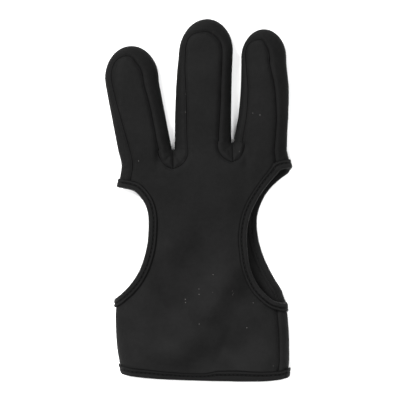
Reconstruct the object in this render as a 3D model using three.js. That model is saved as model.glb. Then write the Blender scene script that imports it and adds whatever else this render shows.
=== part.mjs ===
import * as THREE from 'three';

// A three-fingered archery glove that lies on its back, in millimetres.
// +X is to the right, +Y to the fingertips and +Z up; the underside rests on z = 0.

// Cloth, tape and the small gaps between sewn pieces.
const clothThickness = 2;
const tapeThickness = 0.8;
const tapeWidth = 5.9;
const seamGap = 0.3;

// Lengths along the hand.
const cuffHeight = 53.3;
const palmLength = 96.2;
const rightCrotchRise = 4.7;

// Widths across the hand.
const cuffWidth = 112.6;
const handWidth = 111.6;
const crotchGap = 1.8;

// Each finger stall: its length from the knuckle line, its width, how far its tip
// leans to the side and how long its rounded tip is.
const leftFingerLength = 67.9;
const leftFingerWidth = 35.1;
const leftFingerLean = -8.8;
const leftTipLength = 21.5;
const middleFingerLength = 85.4;
const middleFingerWidth = 37.7;
const middleFingerLean = 2.7;
const middleTipLength = 22;
const rightFingerLength = 78.8;
const rightFingerWidth = 33.2;
const rightFingerLean = 2.2;
const rightTipLength = 18.5;

// Heights: the outline's height above the rest plane and the rise of the front above it.
const outlineHeight = 6.6;
const frontRise = 7.8;
const frontRounding = 18;
const backRounding = 11;
const edgeFullness = 2.2;

// The side strips of the fingers: how far their seams lie inside the outline, and how
// late and sharply the seams draw in to the point below a crotch.
const frontSeamInset = 8;
const backSeamInset = 7;
const crotchSeamInset = 12;
const crotchSeamPoint = 1.2;

// The half-moon openings at the two sides of the hand.
const leftOpeningTop = 24.4;
const leftOpeningHeight = 71.8;
const leftOpeningDepth = 20.3;
const leftOpeningUnderDepth = 21.6;
const rightOpeningTop = 12;
const rightOpeningHeight = 86.8;
const rightOpeningDepth = 27;
const rightOpeningUnderDepth = 20.8;
const openingSag = 1.8;
const openingSagReach = 13;

// The cuff's two side seams, measured inside the outline.
const cuffFrontSeamInset = 6.4;
const cuffBackSeamInset = 6;

// Soft dents and bulges of the front.
const foldDepth = 1.5;
const foldReach = 16;

// How far the cloth takes to settle from the tape's thickness down to the rest plane.
const settleReach = 8;

// Sizes of the facets.
const outlineStep = 0.6;
const seamStep = 5.2;
const gridStep = 9;
const stripRows = 8;
const stripColumns = 32;
const loopStep = 6.2;
const cornerStep = 2.5;
const cornerReach = 13;
const hemSides = 44;

// How the points inside a panel are spread. pointSpacing: the least distance between two
// points in seam steps. seamRows: rows beside the seams in seam steps. tapeRowShare,
// seamRowShare: the share of a row's own distance that its points keep from the edge.
// gridMargin, gridNudge: the grid's distance from the last row and its unevenness in steps.
const pointSpacing = 0.55;
const seamRows = [0.6, 1.5];
const tapeRowShare = 0.8;
const seamRowShare = 0.9;
const gridMargin = 0.45;
const gridNudge = 0.02;

// Outline of the hand below the knuckles, from the cuff's mouth up.
// up: share of the cuff's height and the palm's length together.
// left, right: share of half the cuff's width (below) or half the hand's width (above).
const cuffOutline = [
  { up: -0.06, left: 0.86, right: 0.93 },
  { up: 0.0, left: 0.885, right: 0.962 },
  { up: 0.035, left: 0.93, right: 0.978 },
  { up: 0.09, left: 0.97, right: 0.996 },
  { up: 0.175, left: 1.0, right: 0.994 },
  { up: 0.28, left: 1.01, right: 0.976 },
  { up: 0.335, left: 1.0, right: 0.956 },
  { up: 0.37, left: 0.992, right: 0.954 },
];
const handOutline = [
  { up: 0.6, left: 1.0, right: 0.99 },
  { up: 0.83, left: 0.99, right: 1.025 },
  { up: 0.895, left: 0.962, right: 1.036 },
  { up: 0.93, left: 0.95, right: 1.018 },
];

// Sections of each finger. up: share of its length. lean: share of its lean.
// half: half its width as a share of the width.
const leftSections = [
  { up: 0.0, lean: 0.0, half: 0.5 },
  { up: 0.29, lean: 0.43, half: 0.5 },
  { up: 0.52, lean: 0.77, half: 0.5 },
  { up: 0.7, lean: 0.98, half: 0.498 },
  { up: 1.0, lean: 1.0, half: 0.498 },
];
const middleSections = [
  { up: 0.0, lean: 0.0, half: 0.487 },
  { up: 0.22, lean: 0.0, half: 0.485 },
  { up: 0.42, lean: 0.12, half: 0.481 },
  { up: 0.6, lean: 0.36, half: 0.474 },
  { up: 0.75, lean: 0.68, half: 0.466 },
  { up: 1.0, lean: 1.0, half: 0.464 },
];
const rightSections = [
  { up: 0.0, lean: -0.1, half: 0.528 },
  { up: 0.12, lean: 0.2, half: 0.515 },
  { up: 0.3, lean: 0.95, half: 0.488 },
  { up: 0.52, lean: 1.32, half: 0.47 },
  { up: 0.75, lean: 1.05, half: 0.44 },
  { up: 1.0, lean: 1.1, half: 0.436 },
];

// Front seams of the side strips. at: share of the strip's length, from its left end
// over the tip to its right end. inset: share of the seams' inset.
const leftSeam = [
  { at: 0.0, inset: 0.85 },
  { at: 0.12, inset: 0.92 },
  { at: 0.21, inset: 0.76 },
  { at: 0.33, inset: 0.55 },
  { at: 0.46, inset: 0.46 },
  { at: 0.54, inset: 0.78 },
  { at: 0.64, inset: 1.26 },
  { at: 0.71, inset: 1.24 },
  { at: 0.85, inset: 1.02 },
  { at: 0.96, inset: 1.03 },
];
const middleSeam = [
  { at: 0.03, inset: 0.98 },
  { at: 0.18, inset: 0.85 },
  { at: 0.32, inset: 0.53 },
  { at: 0.4, inset: 0.45 },
  { at: 0.49, inset: 1.04 },
  { at: 0.56, inset: 1.1 },
  { at: 0.65, inset: 0.88 },
  { at: 0.72, inset: 0.82 },
  { at: 0.85, inset: 0.85 },
  { at: 0.97, inset: 1.0 },
];
const rightSeam = [
  { at: 0.03, inset: 0.64 },
  { at: 0.19, inset: 0.55 },
  { at: 0.27, inset: 0.36 },
  { at: 0.35, inset: 0.22 },
  { at: 0.42, inset: 0.72 },
  { at: 0.5, inset: 1.28 },
  { at: 0.59, inset: 1.38 },
  { at: 0.7, inset: 1.16 },
  { at: 0.86, inset: 0.93 },
  { at: 1.0, inset: 1.15 },
];

// Edges of the openings. down: share of the opening's height.
// front, back: share of its depth in the front and in the underside.
const leftOpening = [
  { down: 0.0, front: 0.0, back: 0.0 },
  { down: 0.009, front: 0.24, back: 0.24 },
  { down: 0.032, front: 0.53, back: 0.53 },
  { down: 0.081, front: 0.72, back: 0.72 },
  { down: 0.149, front: 0.88, back: 0.88 },
  { down: 0.235, front: 0.98, back: 0.98 },
  { down: 0.367, front: 1.0, back: 1.0 },
  { down: 0.5, front: 0.97, back: 0.97 },
  { down: 0.62, front: 0.875, back: 0.875 },
  { down: 0.73, front: 0.74, back: 0.74 },
  { down: 0.837, front: 0.52, back: 0.52 },
  { down: 0.93, front: 0.23, back: 0.23 },
  { down: 1.0, front: 0.0, back: 0.0 },
];
const rightOpening = [
  { down: 0.0, front: 0.0, back: 0.0 },
  { down: 0.011, front: 0.26, back: 0.035 },
  { down: 0.034, front: 0.34, back: 0.11 },
  { down: 0.079, front: 0.47, back: 0.36 },
  { down: 0.146, front: 0.63, back: 0.64 },
  { down: 0.228, front: 0.79, back: 0.85 },
  { down: 0.356, front: 0.955, back: 1.0 },
  { down: 0.5, front: 1.0, back: 0.95 },
  { down: 0.62, front: 0.96, back: 0.8 },
  { down: 0.73, front: 0.885, back: 0.585 },
  { down: 0.835, front: 0.737, back: 0.32 },
  { down: 0.91, front: 0.56, back: 0.12 },
  { down: 0.985, front: 0.27, back: 0.03 },
  { down: 1.0, front: 0.0, back: 0.0 },
];

// The front's rise along the hand. up: share of the whole length. rise: share of the rise.
const riseSections = [
  { up: 0.0, rise: 1.36 },
  { up: 0.14, rise: 1.24 },
  { up: 0.3, rise: 1.0 },
  { up: 0.55, rise: 0.96 },
  { up: 0.8, rise: 1.0 },
  { up: 1.0, rise: 0.94 },
];

// The lower edge of the cuff. across: share of half the cuff's width. drop: share of the
// cuff's height.
const hemLine = [
  { across: -1.0, drop: -0.12 },
  { across: -0.93, drop: -0.08 },
  { across: -0.8, drop: -0.055 },
  { across: -0.4, drop: -0.025 },
  { across: 0.0, drop: -0.01 },
  { across: 0.6, drop: 0.0 },
  { across: 0.88, drop: -0.015 },
  { across: 1.0, drop: -0.05 },
];

// Dents (below 0) and bulges (above 0) of the front. across: share of half the hand's
// width. up: share of the whole length. wide, tall: shares of the folds' reach.
const folds = [
  { across: 0.42, up: 0.1, wide: 0.9, tall: 0.7, turn: 20, depth: -1.0 },
  { across: -0.35, up: 0.07, wide: 1.5, tall: 0.5, turn: 0, depth: 0.5 },
  { across: 0.7, up: 0.05, wide: 0.7, tall: 0.6, turn: 0, depth: 0.5 },
  { across: 0.35, up: 0.27, wide: 1.0, tall: 0.8, turn: 30, depth: 0.7 },
  { across: -0.35, up: 0.24, wide: 0.8, tall: 1.1, turn: -30, depth: -0.4 },
  { across: 0.0, up: 0.42, wide: 1.2, tall: 1.4, turn: 0, depth: 0.3 },
  { across: -0.5, up: 0.56, wide: 0.7, tall: 0.5, turn: 20, depth: -0.35 },
  { across: -0.52, up: 0.615, wide: 0.16, tall: 0.5, turn: 0, depth: -0.9 },
  { across: 0.51, up: 0.625, wide: 0.16, tall: 0.5, turn: 0, depth: -0.9 },
];

// Colours and roughness of the cloth and the tape.
const clothFinish = { color: 0x262729, roughness: 0.85, metalness: 0 };
const sideFinish = { color: 0x232426, roughness: 0.85, metalness: 0 };
const tapeFinish = { color: 0x2c2d2f, roughness: 0.7, metalness: 0 };

// Derived levels: y = 0 is the lowest point of the cuff's mouth.
const bodyLength = cuffHeight + palmLength;
const wholeLength = bodyLength + middleFingerLength;
const tapeStandOff = seamGap + tapeThickness;

// Reads a column of a table at a place between its rows, smoothly and without overshoot.
function read(table, place, column, at) {
  const last = table.length - 1;
  const slope = (i) => {
    const rise = table[i + 1][column] - table[i][column];
    return rise / (table[i + 1][place] - table[i][place]);
  };
  const tangent = (i) => {
    if (i === 0) return slope(0);
    if (i === last) return slope(last - 1);
    const before = slope(i - 1);
    const after = slope(i);
    return before * after <= 0 ? 0 : (2 * before * after) / (before + after);
  };
  if (at <= table[0][place]) return table[0][column];
  if (at >= table[last][place]) return table[last][column];
  let i = 0;
  while (at > table[i + 1][place]) i += 1;
  const width = table[i + 1][place] - table[i][place];
  const t = (at - table[i][place]) / width;
  const rise = table[i + 1][column] - table[i][column];
  const start = table[i][column] + t * t * (3 - 2 * t) * rise;
  const bend = t * (1 - t) * width;
  return start + bend * ((1 - t) * tangent(i) - t * tangent(i + 1));
}

// Steps smoothly from 0 to 1 as the share goes from 0 to 1.
function ease(share) {
  const t = Math.min(Math.max(share, 0), 1);
  return t * t * (3 - 2 * t);
}

// The x places of the hand's two sides below the knuckles, as one table of lengths.
function sideTable(edgeLeft, edgeRight) {
  const rows = [];
  for (const row of cuffOutline) {
    const half = cuffWidth / 2;
    rows.push({ y: row.up * bodyLength, left: -row.left * half, right: row.right * half });
  }
  for (const row of handOutline) {
    const half = handWidth / 2;
    rows.push({ y: row.up * bodyLength, left: -row.left * half, right: row.right * half });
  }
  rows.push({ y: bodyLength, left: edgeLeft, right: edgeRight });
  return rows;
}

// The outline of one finger: its two sides by height, and points over its tip.
function fingerShape(spec) {
  const capStart = spec.length - spec.tipLength;
  const centre = (y) => spec.x + spec.lean * read(spec.sections, 'up', 'lean', y / spec.length);
  const half = (y) => {
    const wide = spec.width * read(spec.sections, 'up', 'half', y / spec.length);
    const past = Math.max(y - capStart, 0) / spec.tipLength;
    return wide * Math.sqrt(Math.max(1 - past * past, 0));
  };
  const point = (y, sign) => new THREE.Vector2(centre(y) + sign * half(y), bodyLength + y);
  return { point, capStart };
}

// Points along one side of a finger, from a start height up to the tip or back down.
function fingerSide(spec, sign, from) {
  const shape = fingerShape(spec);
  const points = [];
  const straight = Math.ceil((shape.capStart - from) / outlineStep);
  for (let i = 0; i < straight; i += 1) {
    points.push(shape.point(from + (shape.capStart - from) * i / straight, sign));
  }
  const turns = Math.ceil(spec.tipLength * Math.PI / 2 / outlineStep);
  for (let i = 0; i <= turns; i += 1) {
    const lift = Math.sin(Math.PI / 2 * i / turns);
    points.push(shape.point(shape.capStart + lift * spec.tipLength, sign));
  }
  return points;
}

const middleFinger = {
  x: 0,
  length: middleFingerLength,
  width: middleFingerWidth,
  lean: middleFingerLean,
  tipLength: middleTipLength,
  sections: middleSections,
};
const leftFinger = {
  x: -middleFingerWidth * middleSections[0].half - crotchGap - leftFingerWidth * leftSections[0].half,
  length: leftFingerLength,
  width: leftFingerWidth,
  lean: leftFingerLean,
  tipLength: leftTipLength,
  sections: leftSections,
};
const rightFinger = {
  x: middleFingerWidth * middleSections[1].half + crotchGap + rightFingerWidth * rightSections[1].half,
  length: rightFingerLength,
  width: rightFingerWidth,
  lean: rightFingerLean,
  tipLength: rightTipLength,
  sections: rightSections,
};
const sides = sideTable(
  fingerShape(leftFinger).point(0, -1).x,
  fingerShape(rightFinger).point(0, 1).x,
);
const sideX = {
  left: (y) => read(sides, 'y', 'left', y),
  right: (y) => read(sides, 'y', 'right', y),
};

// Points on the hand's side from the cuff's mouth up to the knuckles.
function handSide(side) {
  const points = [];
  const start = sides[0].y;
  const steps = Math.ceil((bodyLength - start) / outlineStep);
  for (let i = 0; i < steps; i += 1) {
    const y = start + (bodyLength - start) * i / steps;
    points.push(new THREE.Vector2(sideX[side](y), y));
  }
  return points;
}

// Half of the rounded bottom of a crotch, from a finger's side down to its lowest point.
function crotchHalf(from, bottom) {
  const points = [];
  const turns = 6;
  for (let i = 1; i <= turns; i += 1) {
    const turn = Math.PI / 2 * i / turns;
    const x = bottom.x + (from.x - bottom.x) * Math.cos(turn);
    const y = from.y + (bottom.y - from.y) * Math.sin(turn);
    points.push(new THREE.Vector2(x, y));
  }
  return points;
}

// A run of outline points with its lengths and inward normals.
function makeRun(points, startNormal, endNormal) {
  const lengths = [0];
  for (let i = 1; i < points.length; i += 1) {
    lengths.push(lengths[i - 1] + points[i].distanceTo(points[i - 1]));
  }
  const normals = points.map((point, i) => {
    const before = points[Math.max(i - 1, 0)];
    const after = points[Math.min(i + 1, points.length - 1)];
    return new THREE.Vector2(after.y - before.y, before.x - after.x).normalize();
  });
  if (startNormal) normals[0].copy(startNormal);
  if (endNormal) normals[points.length - 1].copy(endNormal);
  const total = lengths[points.length - 1];
  const at = (length) => {
    const want = Math.min(Math.max(length, 0), total);
    let low = 0;
    let high = points.length - 1;
    while (high - low > 1) {
      const middle = (low + high) >> 1;
      if (lengths[middle] <= want) low = middle;
      else high = middle;
    }
    const t = (want - lengths[low]) / (lengths[high] - lengths[low]);
    return {
      point: points[low].clone().lerp(points[high], t),
      normal: normals[low].clone().lerp(normals[high], t).normalize(),
    };
  };
  return { points, total, at };
}

// The three runs of the outline, one for each finger, split at the crotches' lowest points.
function makeRuns() {
  const round = crotchGap / 2;
  const down = new THREE.Vector2(0, -1);
  const leftOfMiddle = fingerSide(middleFinger, -1, round);
  const rightOfMiddle = fingerSide(middleFinger, 1, rightCrotchRise + round);
  const rightOfLeft = fingerSide(leftFinger, 1, round);
  const leftOfRight = fingerSide(rightFinger, -1, rightCrotchRise + round);
  const bottomOf = (a, b) => new THREE.Vector2((a.x + b.x) / 2, a.y - round);
  const first = bottomOf(rightOfLeft[0], leftOfMiddle[0]);
  const second = bottomOf(rightOfMiddle[0], leftOfRight[0]);
  const leftPoints = [
    ...handSide('left'),
    ...fingerSide(leftFinger, -1, 0),
    ...rightOfLeft.slice(0, -1).reverse(),
    ...crotchHalf(rightOfLeft[0], first),
  ];
  const middlePoints = [
    ...crotchHalf(leftOfMiddle[0], first).reverse(),
    ...leftOfMiddle,
    ...rightOfMiddle.slice(0, -1).reverse(),
    ...crotchHalf(rightOfMiddle[0], second),
  ];
  const rightPoints = [
    ...crotchHalf(leftOfRight[0], second).reverse(),
    ...leftOfRight,
    ...fingerSide(rightFinger, 1, 0).slice(0, -1).reverse(),
    ...handSide('right').reverse(),
  ];
  return {
    left: makeRun(leftPoints, null, down),
    middle: makeRun(middlePoints, down, down),
    right: makeRun(rightPoints, down, null),
  };
}

const runs = makeRuns();
const outline = [...runs.left.points, ...runs.middle.points.slice(1), ...runs.right.points.slice(1)];

// The nearest point of a polyline: its distance and the direction from it. On the line
// itself the direction is the one square to it.
function nearest(line, x, y) {
  let best = Infinity;
  let bestX = 0;
  let bestY = 0;
  let alongX = 0;
  let alongY = 0;
  for (let i = 1; i < line.length; i += 1) {
    const a = line[i - 1];
    const b = line[i];
    const dx = b.x - a.x;
    const dy = b.y - a.y;
    const share = ((x - a.x) * dx + (y - a.y) * dy) / (dx * dx + dy * dy || 1);
    const t = Math.min(Math.max(share, 0), 1);
    const ex = x - a.x - t * dx;
    const ey = y - a.y - t * dy;
    const square = ex * ex + ey * ey;
    if (square < best) {
      best = square;
      bestX = ex;
      bestY = ey;
      alongX = dx;
      alongY = dy;
    }
  }
  const distance = Math.sqrt(best);
  const onLine = 0.3;
  const square = new THREE.Vector2(alongY, -alongX).normalize();
  const away = new THREE.Vector2(bestX, bestY).divideScalar(distance || 1);
  return { distance, direction: distance < onLine ? square : away };
}

// The rounded edge: how high the cloth stands at a share of the rounding distance.
function edgeCurve(share) {
  const left = 1 - Math.min(share, 1);
  return (1 - left ** edgeFullness) ** (1 / edgeFullness);
}

// The edge curve's slope at a share of the rounding distance.
function edgeSlope(share) {
  const nearZero = 1e-9;
  const left = 1 - Math.min(Math.max(share, nearZero), 1);
  return left ** (edgeFullness - 1) * (1 - left ** edgeFullness) ** (1 / edgeFullness - 1);
}

// Lengths over the rounded edge against plan distances from the outline.
function edgeMeasure(rounding, rise) {
  const steps = 240;
  const rows = [{ plan: 0, over: 0 }];
  let before = { plan: 0, height: 0 };
  for (let i = 1; i <= steps; i += 1) {
    const turn = Math.PI / 2 * i / steps;
    const plan = rounding * (1 - Math.cos(turn) ** (2 / edgeFullness));
    const height = rise * Math.sin(turn) ** (2 / edgeFullness);
    const over = rows[i - 1].over + Math.hypot(plan - before.plan, height - before.height);
    rows.push({ plan, over });
    before = { plan, height };
  }
  const find = (from, to, value) => {
    const end = rows[steps];
    if (value >= end[from]) return end[to] + value - end[from];
    let low = 0;
    let high = steps;
    while (high - low > 1) {
      const middle = (low + high) >> 1;
      if (rows[middle][from] <= value) low = middle;
      else high = middle;
    }
    const t = (value - rows[low][from]) / (rows[high][from] - rows[low][from]);
    return rows[low][to] + t * (rows[high][to] - rows[low][to]);
  };
  return {
    rounding,
    over: (plan) => find('plan', 'over', plan),
    plan: (over) => find('over', 'plan', over),
  };
}

const faces = {
  front: edgeMeasure(frontRounding, frontRise),
  back: edgeMeasure(backRounding, outlineHeight),
};

// A place on the hand's side cloth, unrolled: over is the signed length from the outline,
// above 0 on the front and below 0 on the underside.
function unrolled(side, over, y) {
  const face = over >= 0 ? 'front' : 'back';
  const inward = side === 'left' ? 1 : -1;
  return { x: sideX[side](y) + inward * faces[face].plan(Math.abs(over)), y, face };
}

// The closed edge of an opening in unrolled lengths, at even steps, with outward normals.
function openingLoop(spec) {
  const rows = spec.table;
  const control = [];
  for (const row of rows) {
    const over = faces.front.over(row.front * spec.depth);
    control.push(new THREE.Vector3(over, spec.top - row.down * spec.height, 0));
  }
  for (const row of rows.slice(1, -1).reverse()) {
    const over = -faces.back.over(row.back * spec.underDepth);
    control.push(new THREE.Vector3(over, spec.top - row.down * spec.height, 0));
  }
  const curve = new THREE.CatmullRomCurve3(control, true, 'centripetal');
  curve.arcLengthDivisions = 1200;
  const at = (t) => {
    const place = curve.getPointAt(((t % 1) + 1) % 1);
    const along = curve.getTangentAt(((t % 1) + 1) % 1);
    return { over: place.x, y: place.y, outOver: along.y, outY: -along.x };
  };
  const turned = at(0).outY > 0 ? 1 : -1;
  const edge = (t, width) => {
    const place = at(t);
    return {
      over: place.over + turned * width * place.outOver,
      y: place.y + turned * width * place.outY,
    };
  };
  return { edge, side: spec.side };
}

const openings = {
  left: openingLoop({
    side: 'left',
    top: bodyLength - leftOpeningTop,
    height: leftOpeningHeight,
    depth: leftOpeningDepth,
    underDepth: leftOpeningUnderDepth,
    table: leftOpening,
  }),
  right: openingLoop({
    side: 'right',
    top: bodyLength - rightOpeningTop,
    height: rightOpeningHeight,
    depth: rightOpeningDepth,
    underDepth: rightOpeningUnderDepth,
    table: rightOpening,
  }),
};

// The plan line of an opening's edge on one face.
function openingLine(opening, face) {
  const line = [];
  const steps = 160;
  for (let i = 0; i <= steps; i += 1) {
    const place = opening.edge(i / steps, 0);
    const spot = unrolled(opening.side, place.over, place.y);
    if (spot.face === face) line.push(spot);
  }
  return line;
}

const openingLines = {
  front: [openingLine(openings.left, 'front'), openingLine(openings.right, 'front')],
  back: [openingLine(openings.left, 'back'), openingLine(openings.right, 'back')],
};

// The height of the cuff's lower edge at a place across.
function hemLevel(x) {
  return -cuffHeight * read(hemLine, 'across', 'drop', x / (cuffWidth / 2));
}

// Dents and bulges of the front, and the sag of its free edges beside the openings.
function frontChange(x, y) {
  let change = 0;
  for (const fold of folds) {
    const dx = x - fold.across * handWidth / 2;
    const dy = y - fold.up * wholeLength;
    const turn = THREE.MathUtils.degToRad(fold.turn);
    const along = (dx * Math.cos(turn) + dy * Math.sin(turn)) / (fold.wide * foldReach);
    const across = (dy * Math.cos(turn) - dx * Math.sin(turn)) / (fold.tall * foldReach);
    change += fold.depth * foldDepth * Math.exp(-along * along - across * across);
  }
  for (const line of openingLines.front) {
    const share = nearest(line, x, y).distance / openingSagReach;
    change -= openingSag * Math.exp(-share * share);
  }
  return change;
}

// How far the underside is held off the rest plane by the tape that it lies on.
function backLift(x, y) {
  const toHem = y - hemLevel(x);
  const toLeft = nearest(openingLines.back[0], x, y).distance;
  const toRight = nearest(openingLines.back[1], x, y).distance;
  const closest = Math.min(toHem, toLeft, toRight) - tapeWidth - tapeStandOff;
  return tapeStandOff * (1 - ease(closest / settleReach));
}

// The height of the cloth above (front) or below (back) the outline, far inside it.
function swell(x, y, face) {
  if (face === 'back') return outlineHeight - backLift(x, y);
  return frontRise * read(riseSections, 'up', 'rise', y / wholeLength) + frontChange(x, y);
}

// The cloth's outer surface over a place of the plan: the point and its outward normal.
function surface(x, y, face) {
  const near = nearest(outline, x, y);
  const sign = face === 'front' ? 1 : -1;
  const rounding = faces[face].rounding;
  const share = near.distance / rounding;
  const full = swell(x, y, face);
  const step = 0.4;
  const slopeX = (swell(x + step, y, face) - swell(x - step, y, face)) / (2 * step);
  const slopeY = (swell(x, y + step, face) - swell(x, y - step, face)) / (2 * step);
  const steep = full * edgeSlope(share) / rounding;
  const curve = edgeCurve(share);
  return {
    point: new THREE.Vector3(x, y, outlineHeight + sign * full * curve),
    normal: new THREE.Vector3(
      -(near.direction.x * steep + curve * slopeX),
      -(near.direction.y * steep + curve * slopeY),
      sign,
    ).normalize(),
  };
}

// A surface place on a known line inward from the outline, which keeps its exact direction.
function surfaceInward(at, over) {
  const face = over >= 0 ? 'front' : 'back';
  const plan = faces[face].plan(Math.abs(over));
  const x = at.point.x + at.normal.x * plan;
  const y = at.point.y + at.normal.y * plan;
  const found = surface(x, y, face);
  const tooNear = 0.05;
  if (plan < tooNear) found.normal.set(-at.normal.x, -at.normal.y, 0);
  return found;
}

// The inset of a finger's front or back seam at a share of the strip's length.
function seamInset(strip, face, share) {
  const ends = strip.crotches;
  const nearCrotch = 0.0095;
  const start = ends.start ? 1 - Math.min(share / nearCrotch, 1) : 0;
  const end = ends.end ? Math.max(share - 1 + nearCrotch, 0) / nearCrotch : 0;
  const pull = Math.max(start, end) ** crotchSeamPoint;
  const side = face === 'back' ? backSeamInset : frontSeamInset * read(strip.seam, 'at', 'inset', share);
  return side + (crotchSeamInset - side) * pull;
}

// Finds where a rising function passes a value between two places.
function cross(low, high, value, rising) {
  let a = low;
  let b = high;
  for (let i = 0; i < 40; i += 1) {
    const middle = (a + b) / 2;
    if (rising(middle) < value) a = middle;
    else b = middle;
  }
  return (a + b) / 2;
}

// The y place of an opening's cut edge near its top, at an unrolled length.
function topEdge(opening, over) {
  const reach = 0.22;
  const after = opening.edge(reach, tapeStandOff).over;
  const before = opening.edge(-reach, tapeStandOff).over;
  const sign = after > before ? 1 : -1;
  const t = cross(-reach, reach, over * sign, (at) => opening.edge(at, tapeStandOff).over * sign);
  return { t, y: opening.edge(t, tapeStandOff).y };
}

// The side strips, by finger: their run, the length of it they cover, and their crotches.
const strips = {
  left: {
    run: runs.left,
    seam: leftSeam,
    crotches: { start: false, end: true },
    opening: openings.left,
  },
  middle: {
    run: runs.middle,
    seam: middleSeam,
    crotches: { start: true, end: true },
  },
  right: {
    run: runs.right,
    seam: rightSeam,
    crotches: { start: true, end: false },
    opening: openings.right,
  },
};

// The length along a run at which it passes the top edge of its opening.
function openingEnd(strip, over) {
  const { run } = strip;
  const level = topEdge(strip.opening, over).y;
  const face = over >= 0 ? 'front' : 'back';
  const plan = faces[face].plan(Math.abs(over));
  const height = (length) => {
    const at = run.at(length);
    return at.point.y + at.normal.y * plan;
  };
  const upTo = bodyLength / 2;
  if (strip === strips.left) return cross(upTo, bodyLength + cuffHeight / 2, level, height);
  const far = run.total;
  return cross(far - bodyLength - cuffHeight / 2, far - upTo, -level, (length) => -height(length));
}
for (const strip of Object.values(strips)) {
  strip.start = 0;
  strip.end = strip.run.total;
  if (strip === strips.left) strip.start = openingEnd(strip, 0);
  if (strip === strips.right) strip.end = openingEnd(strip, 0);
}

// The share of a strip's length at a length along its run.
function stripShare(strip, length) {
  return Math.min(Math.max((length - strip.start) / (strip.end - strip.start), 0), 1);
}

// The signed unrolled length of a strip's seam at a length along its run.
function seamOver(strip, face, length, gap) {
  const plan = seamInset(strip, face, stripShare(strip, length)) + gap;
  return face === 'front' ? faces.front.over(plan) : -faces.back.over(plan);
}

// Where a seam of a strip meets the opening's edge, as a length along the run.
function seamEnd(strip, face, gap) {
  let length = strip === strips.left ? strip.start : strip.end;
  for (let i = 0; i < 4; i += 1) length = openingEnd(strip, seamOver(strip, face, length, gap));
  return length;
}

// Stations along a strip's front seam, as lengths along its run: two close ones under the
// tape of its opening, then even ones.
function seamStations(strip, count) {
  const gap = -seamGap / 2;
  const leads = [tapeWidth / 2 - tapeStandOff, tapeWidth - tapeStandOff];
  const fromOpening = strip === strips.left ? seamEnd(strip, 'front', gap) : strip.start;
  const toOpening = strip === strips.right ? seamEnd(strip, 'front', gap) : strip.end;
  const from = strip === strips.left ? fromOpening + leads[1] : fromOpening;
  const to = strip === strips.right ? toOpening - leads[1] : toOpening;
  const even = strip === strips.middle ? count : count - leads.length;
  const seamShare = 0.75;
  const fine = 600;
  const spot = (length) => {
    const at = strip.run.at(length);
    const plan = seamInset(strip, 'front', stripShare(strip, length));
    return at.point.clone().addScaledVector(at.normal, plan);
  };
  const lengths = [0];
  let before = spot(from);
  let edgeBefore = strip.run.at(from).point;
  for (let i = 1; i <= fine; i += 1) {
    const length = from + (to - from) * i / fine;
    const here = spot(length);
    const edge = strip.run.at(length).point;
    const walked = seamShare * here.distanceTo(before) + (1 - seamShare) * edge.distanceTo(edgeBefore);
    lengths.push(lengths[i - 1] + walked);
    before = here;
    edgeBefore = edge;
  }
  const stations = [];
  for (let i = 0; i <= even; i += 1) {
    const want = lengths[fine] * i / even;
    let k = 0;
    while (k < fine - 1 && lengths[k + 1] < want) k += 1;
    const t = (want - lengths[k]) / (lengths[k + 1] - lengths[k]);
    stations.push(from + (to - from) * (k + t) / fine);
  }
  if (strip === strips.left) return [fromOpening, fromOpening + leads[0], ...stations];
  if (strip === strips.right) return [...stations, toOpening - leads[0], toOpening];
  return stations;
}

// A place of a strip's grid: the length along its run and the unrolled length from the outline.
function stripPlace(strip, column, row) {
  const half = seamGap / 2;
  const station = strip.stations[column];
  const part = column / stripColumns;
  const hold = 6;
  const atStart = strip === strips.left ? (1 - part) ** hold : 0;
  const atEnd = strip === strips.right ? part ** hold : 0;
  let length = station;
  let over = 0;
  for (let i = 0; i < 4; i += 1) {
    const top = seamOver(strip, 'front', length, -half);
    const low = seamOver(strip, 'back', length, -half);
    over = top + (low - top) * row / stripRows;
    length = station;
    if (atStart > 0) length += (openingEnd(strip, over) - strip.stations[0]) * atStart;
    if (atEnd > 0) length += (openingEnd(strip, over) - strip.stations.at(-1)) * atEnd;
  }
  return { length, over };
}
for (const strip of Object.values(strips)) strip.stations = seamStations(strip, stripColumns);

// The stations round an opening's edge: the strip's own rows at its top, close steps where
// the edge turns over the hand's side low down and longer steps elsewhere.
function openingTurns(opening, strip) {
  const column = strip === strips.left ? 0 : stripColumns;
  const turns = [];
  for (let row = 0; row <= stripRows; row += 1) {
    turns.push(topEdge(opening, stripPlace(strip, column, row).over).t);
  }
  turns.sort((a, b) => a - b);
  const fine = 900;
  const nearTop = 0.2;
  const last = turns.at(-1);
  const span = 1 + turns[0] - last;
  let walked = 0;
  let before = opening.edge(last, 0);
  const marks = [];
  for (let i = 1; i <= fine; i += 1) {
    const t = last + span * i / fine;
    const here = opening.edge(t, 0);
    const low = t > last + nearTop && t < last + span - nearTop;
    const step = low && Math.abs(here.over) < cornerReach ? cornerStep : loopStep;
    walked += Math.hypot(here.over - before.over, here.y - before.y) / step;
    marks.push({ t, walked });
    before = here;
  }
  const count = Math.round(walked);
  for (let k = 1; k < count; k += 1) {
    turns.push(marks.find((mark) => mark.walked >= walked * k / count).t);
  }
  return turns;
}
for (const side of ['left', 'right']) openings[side].turns = openingTurns(openings[side], strips[side]);

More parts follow.
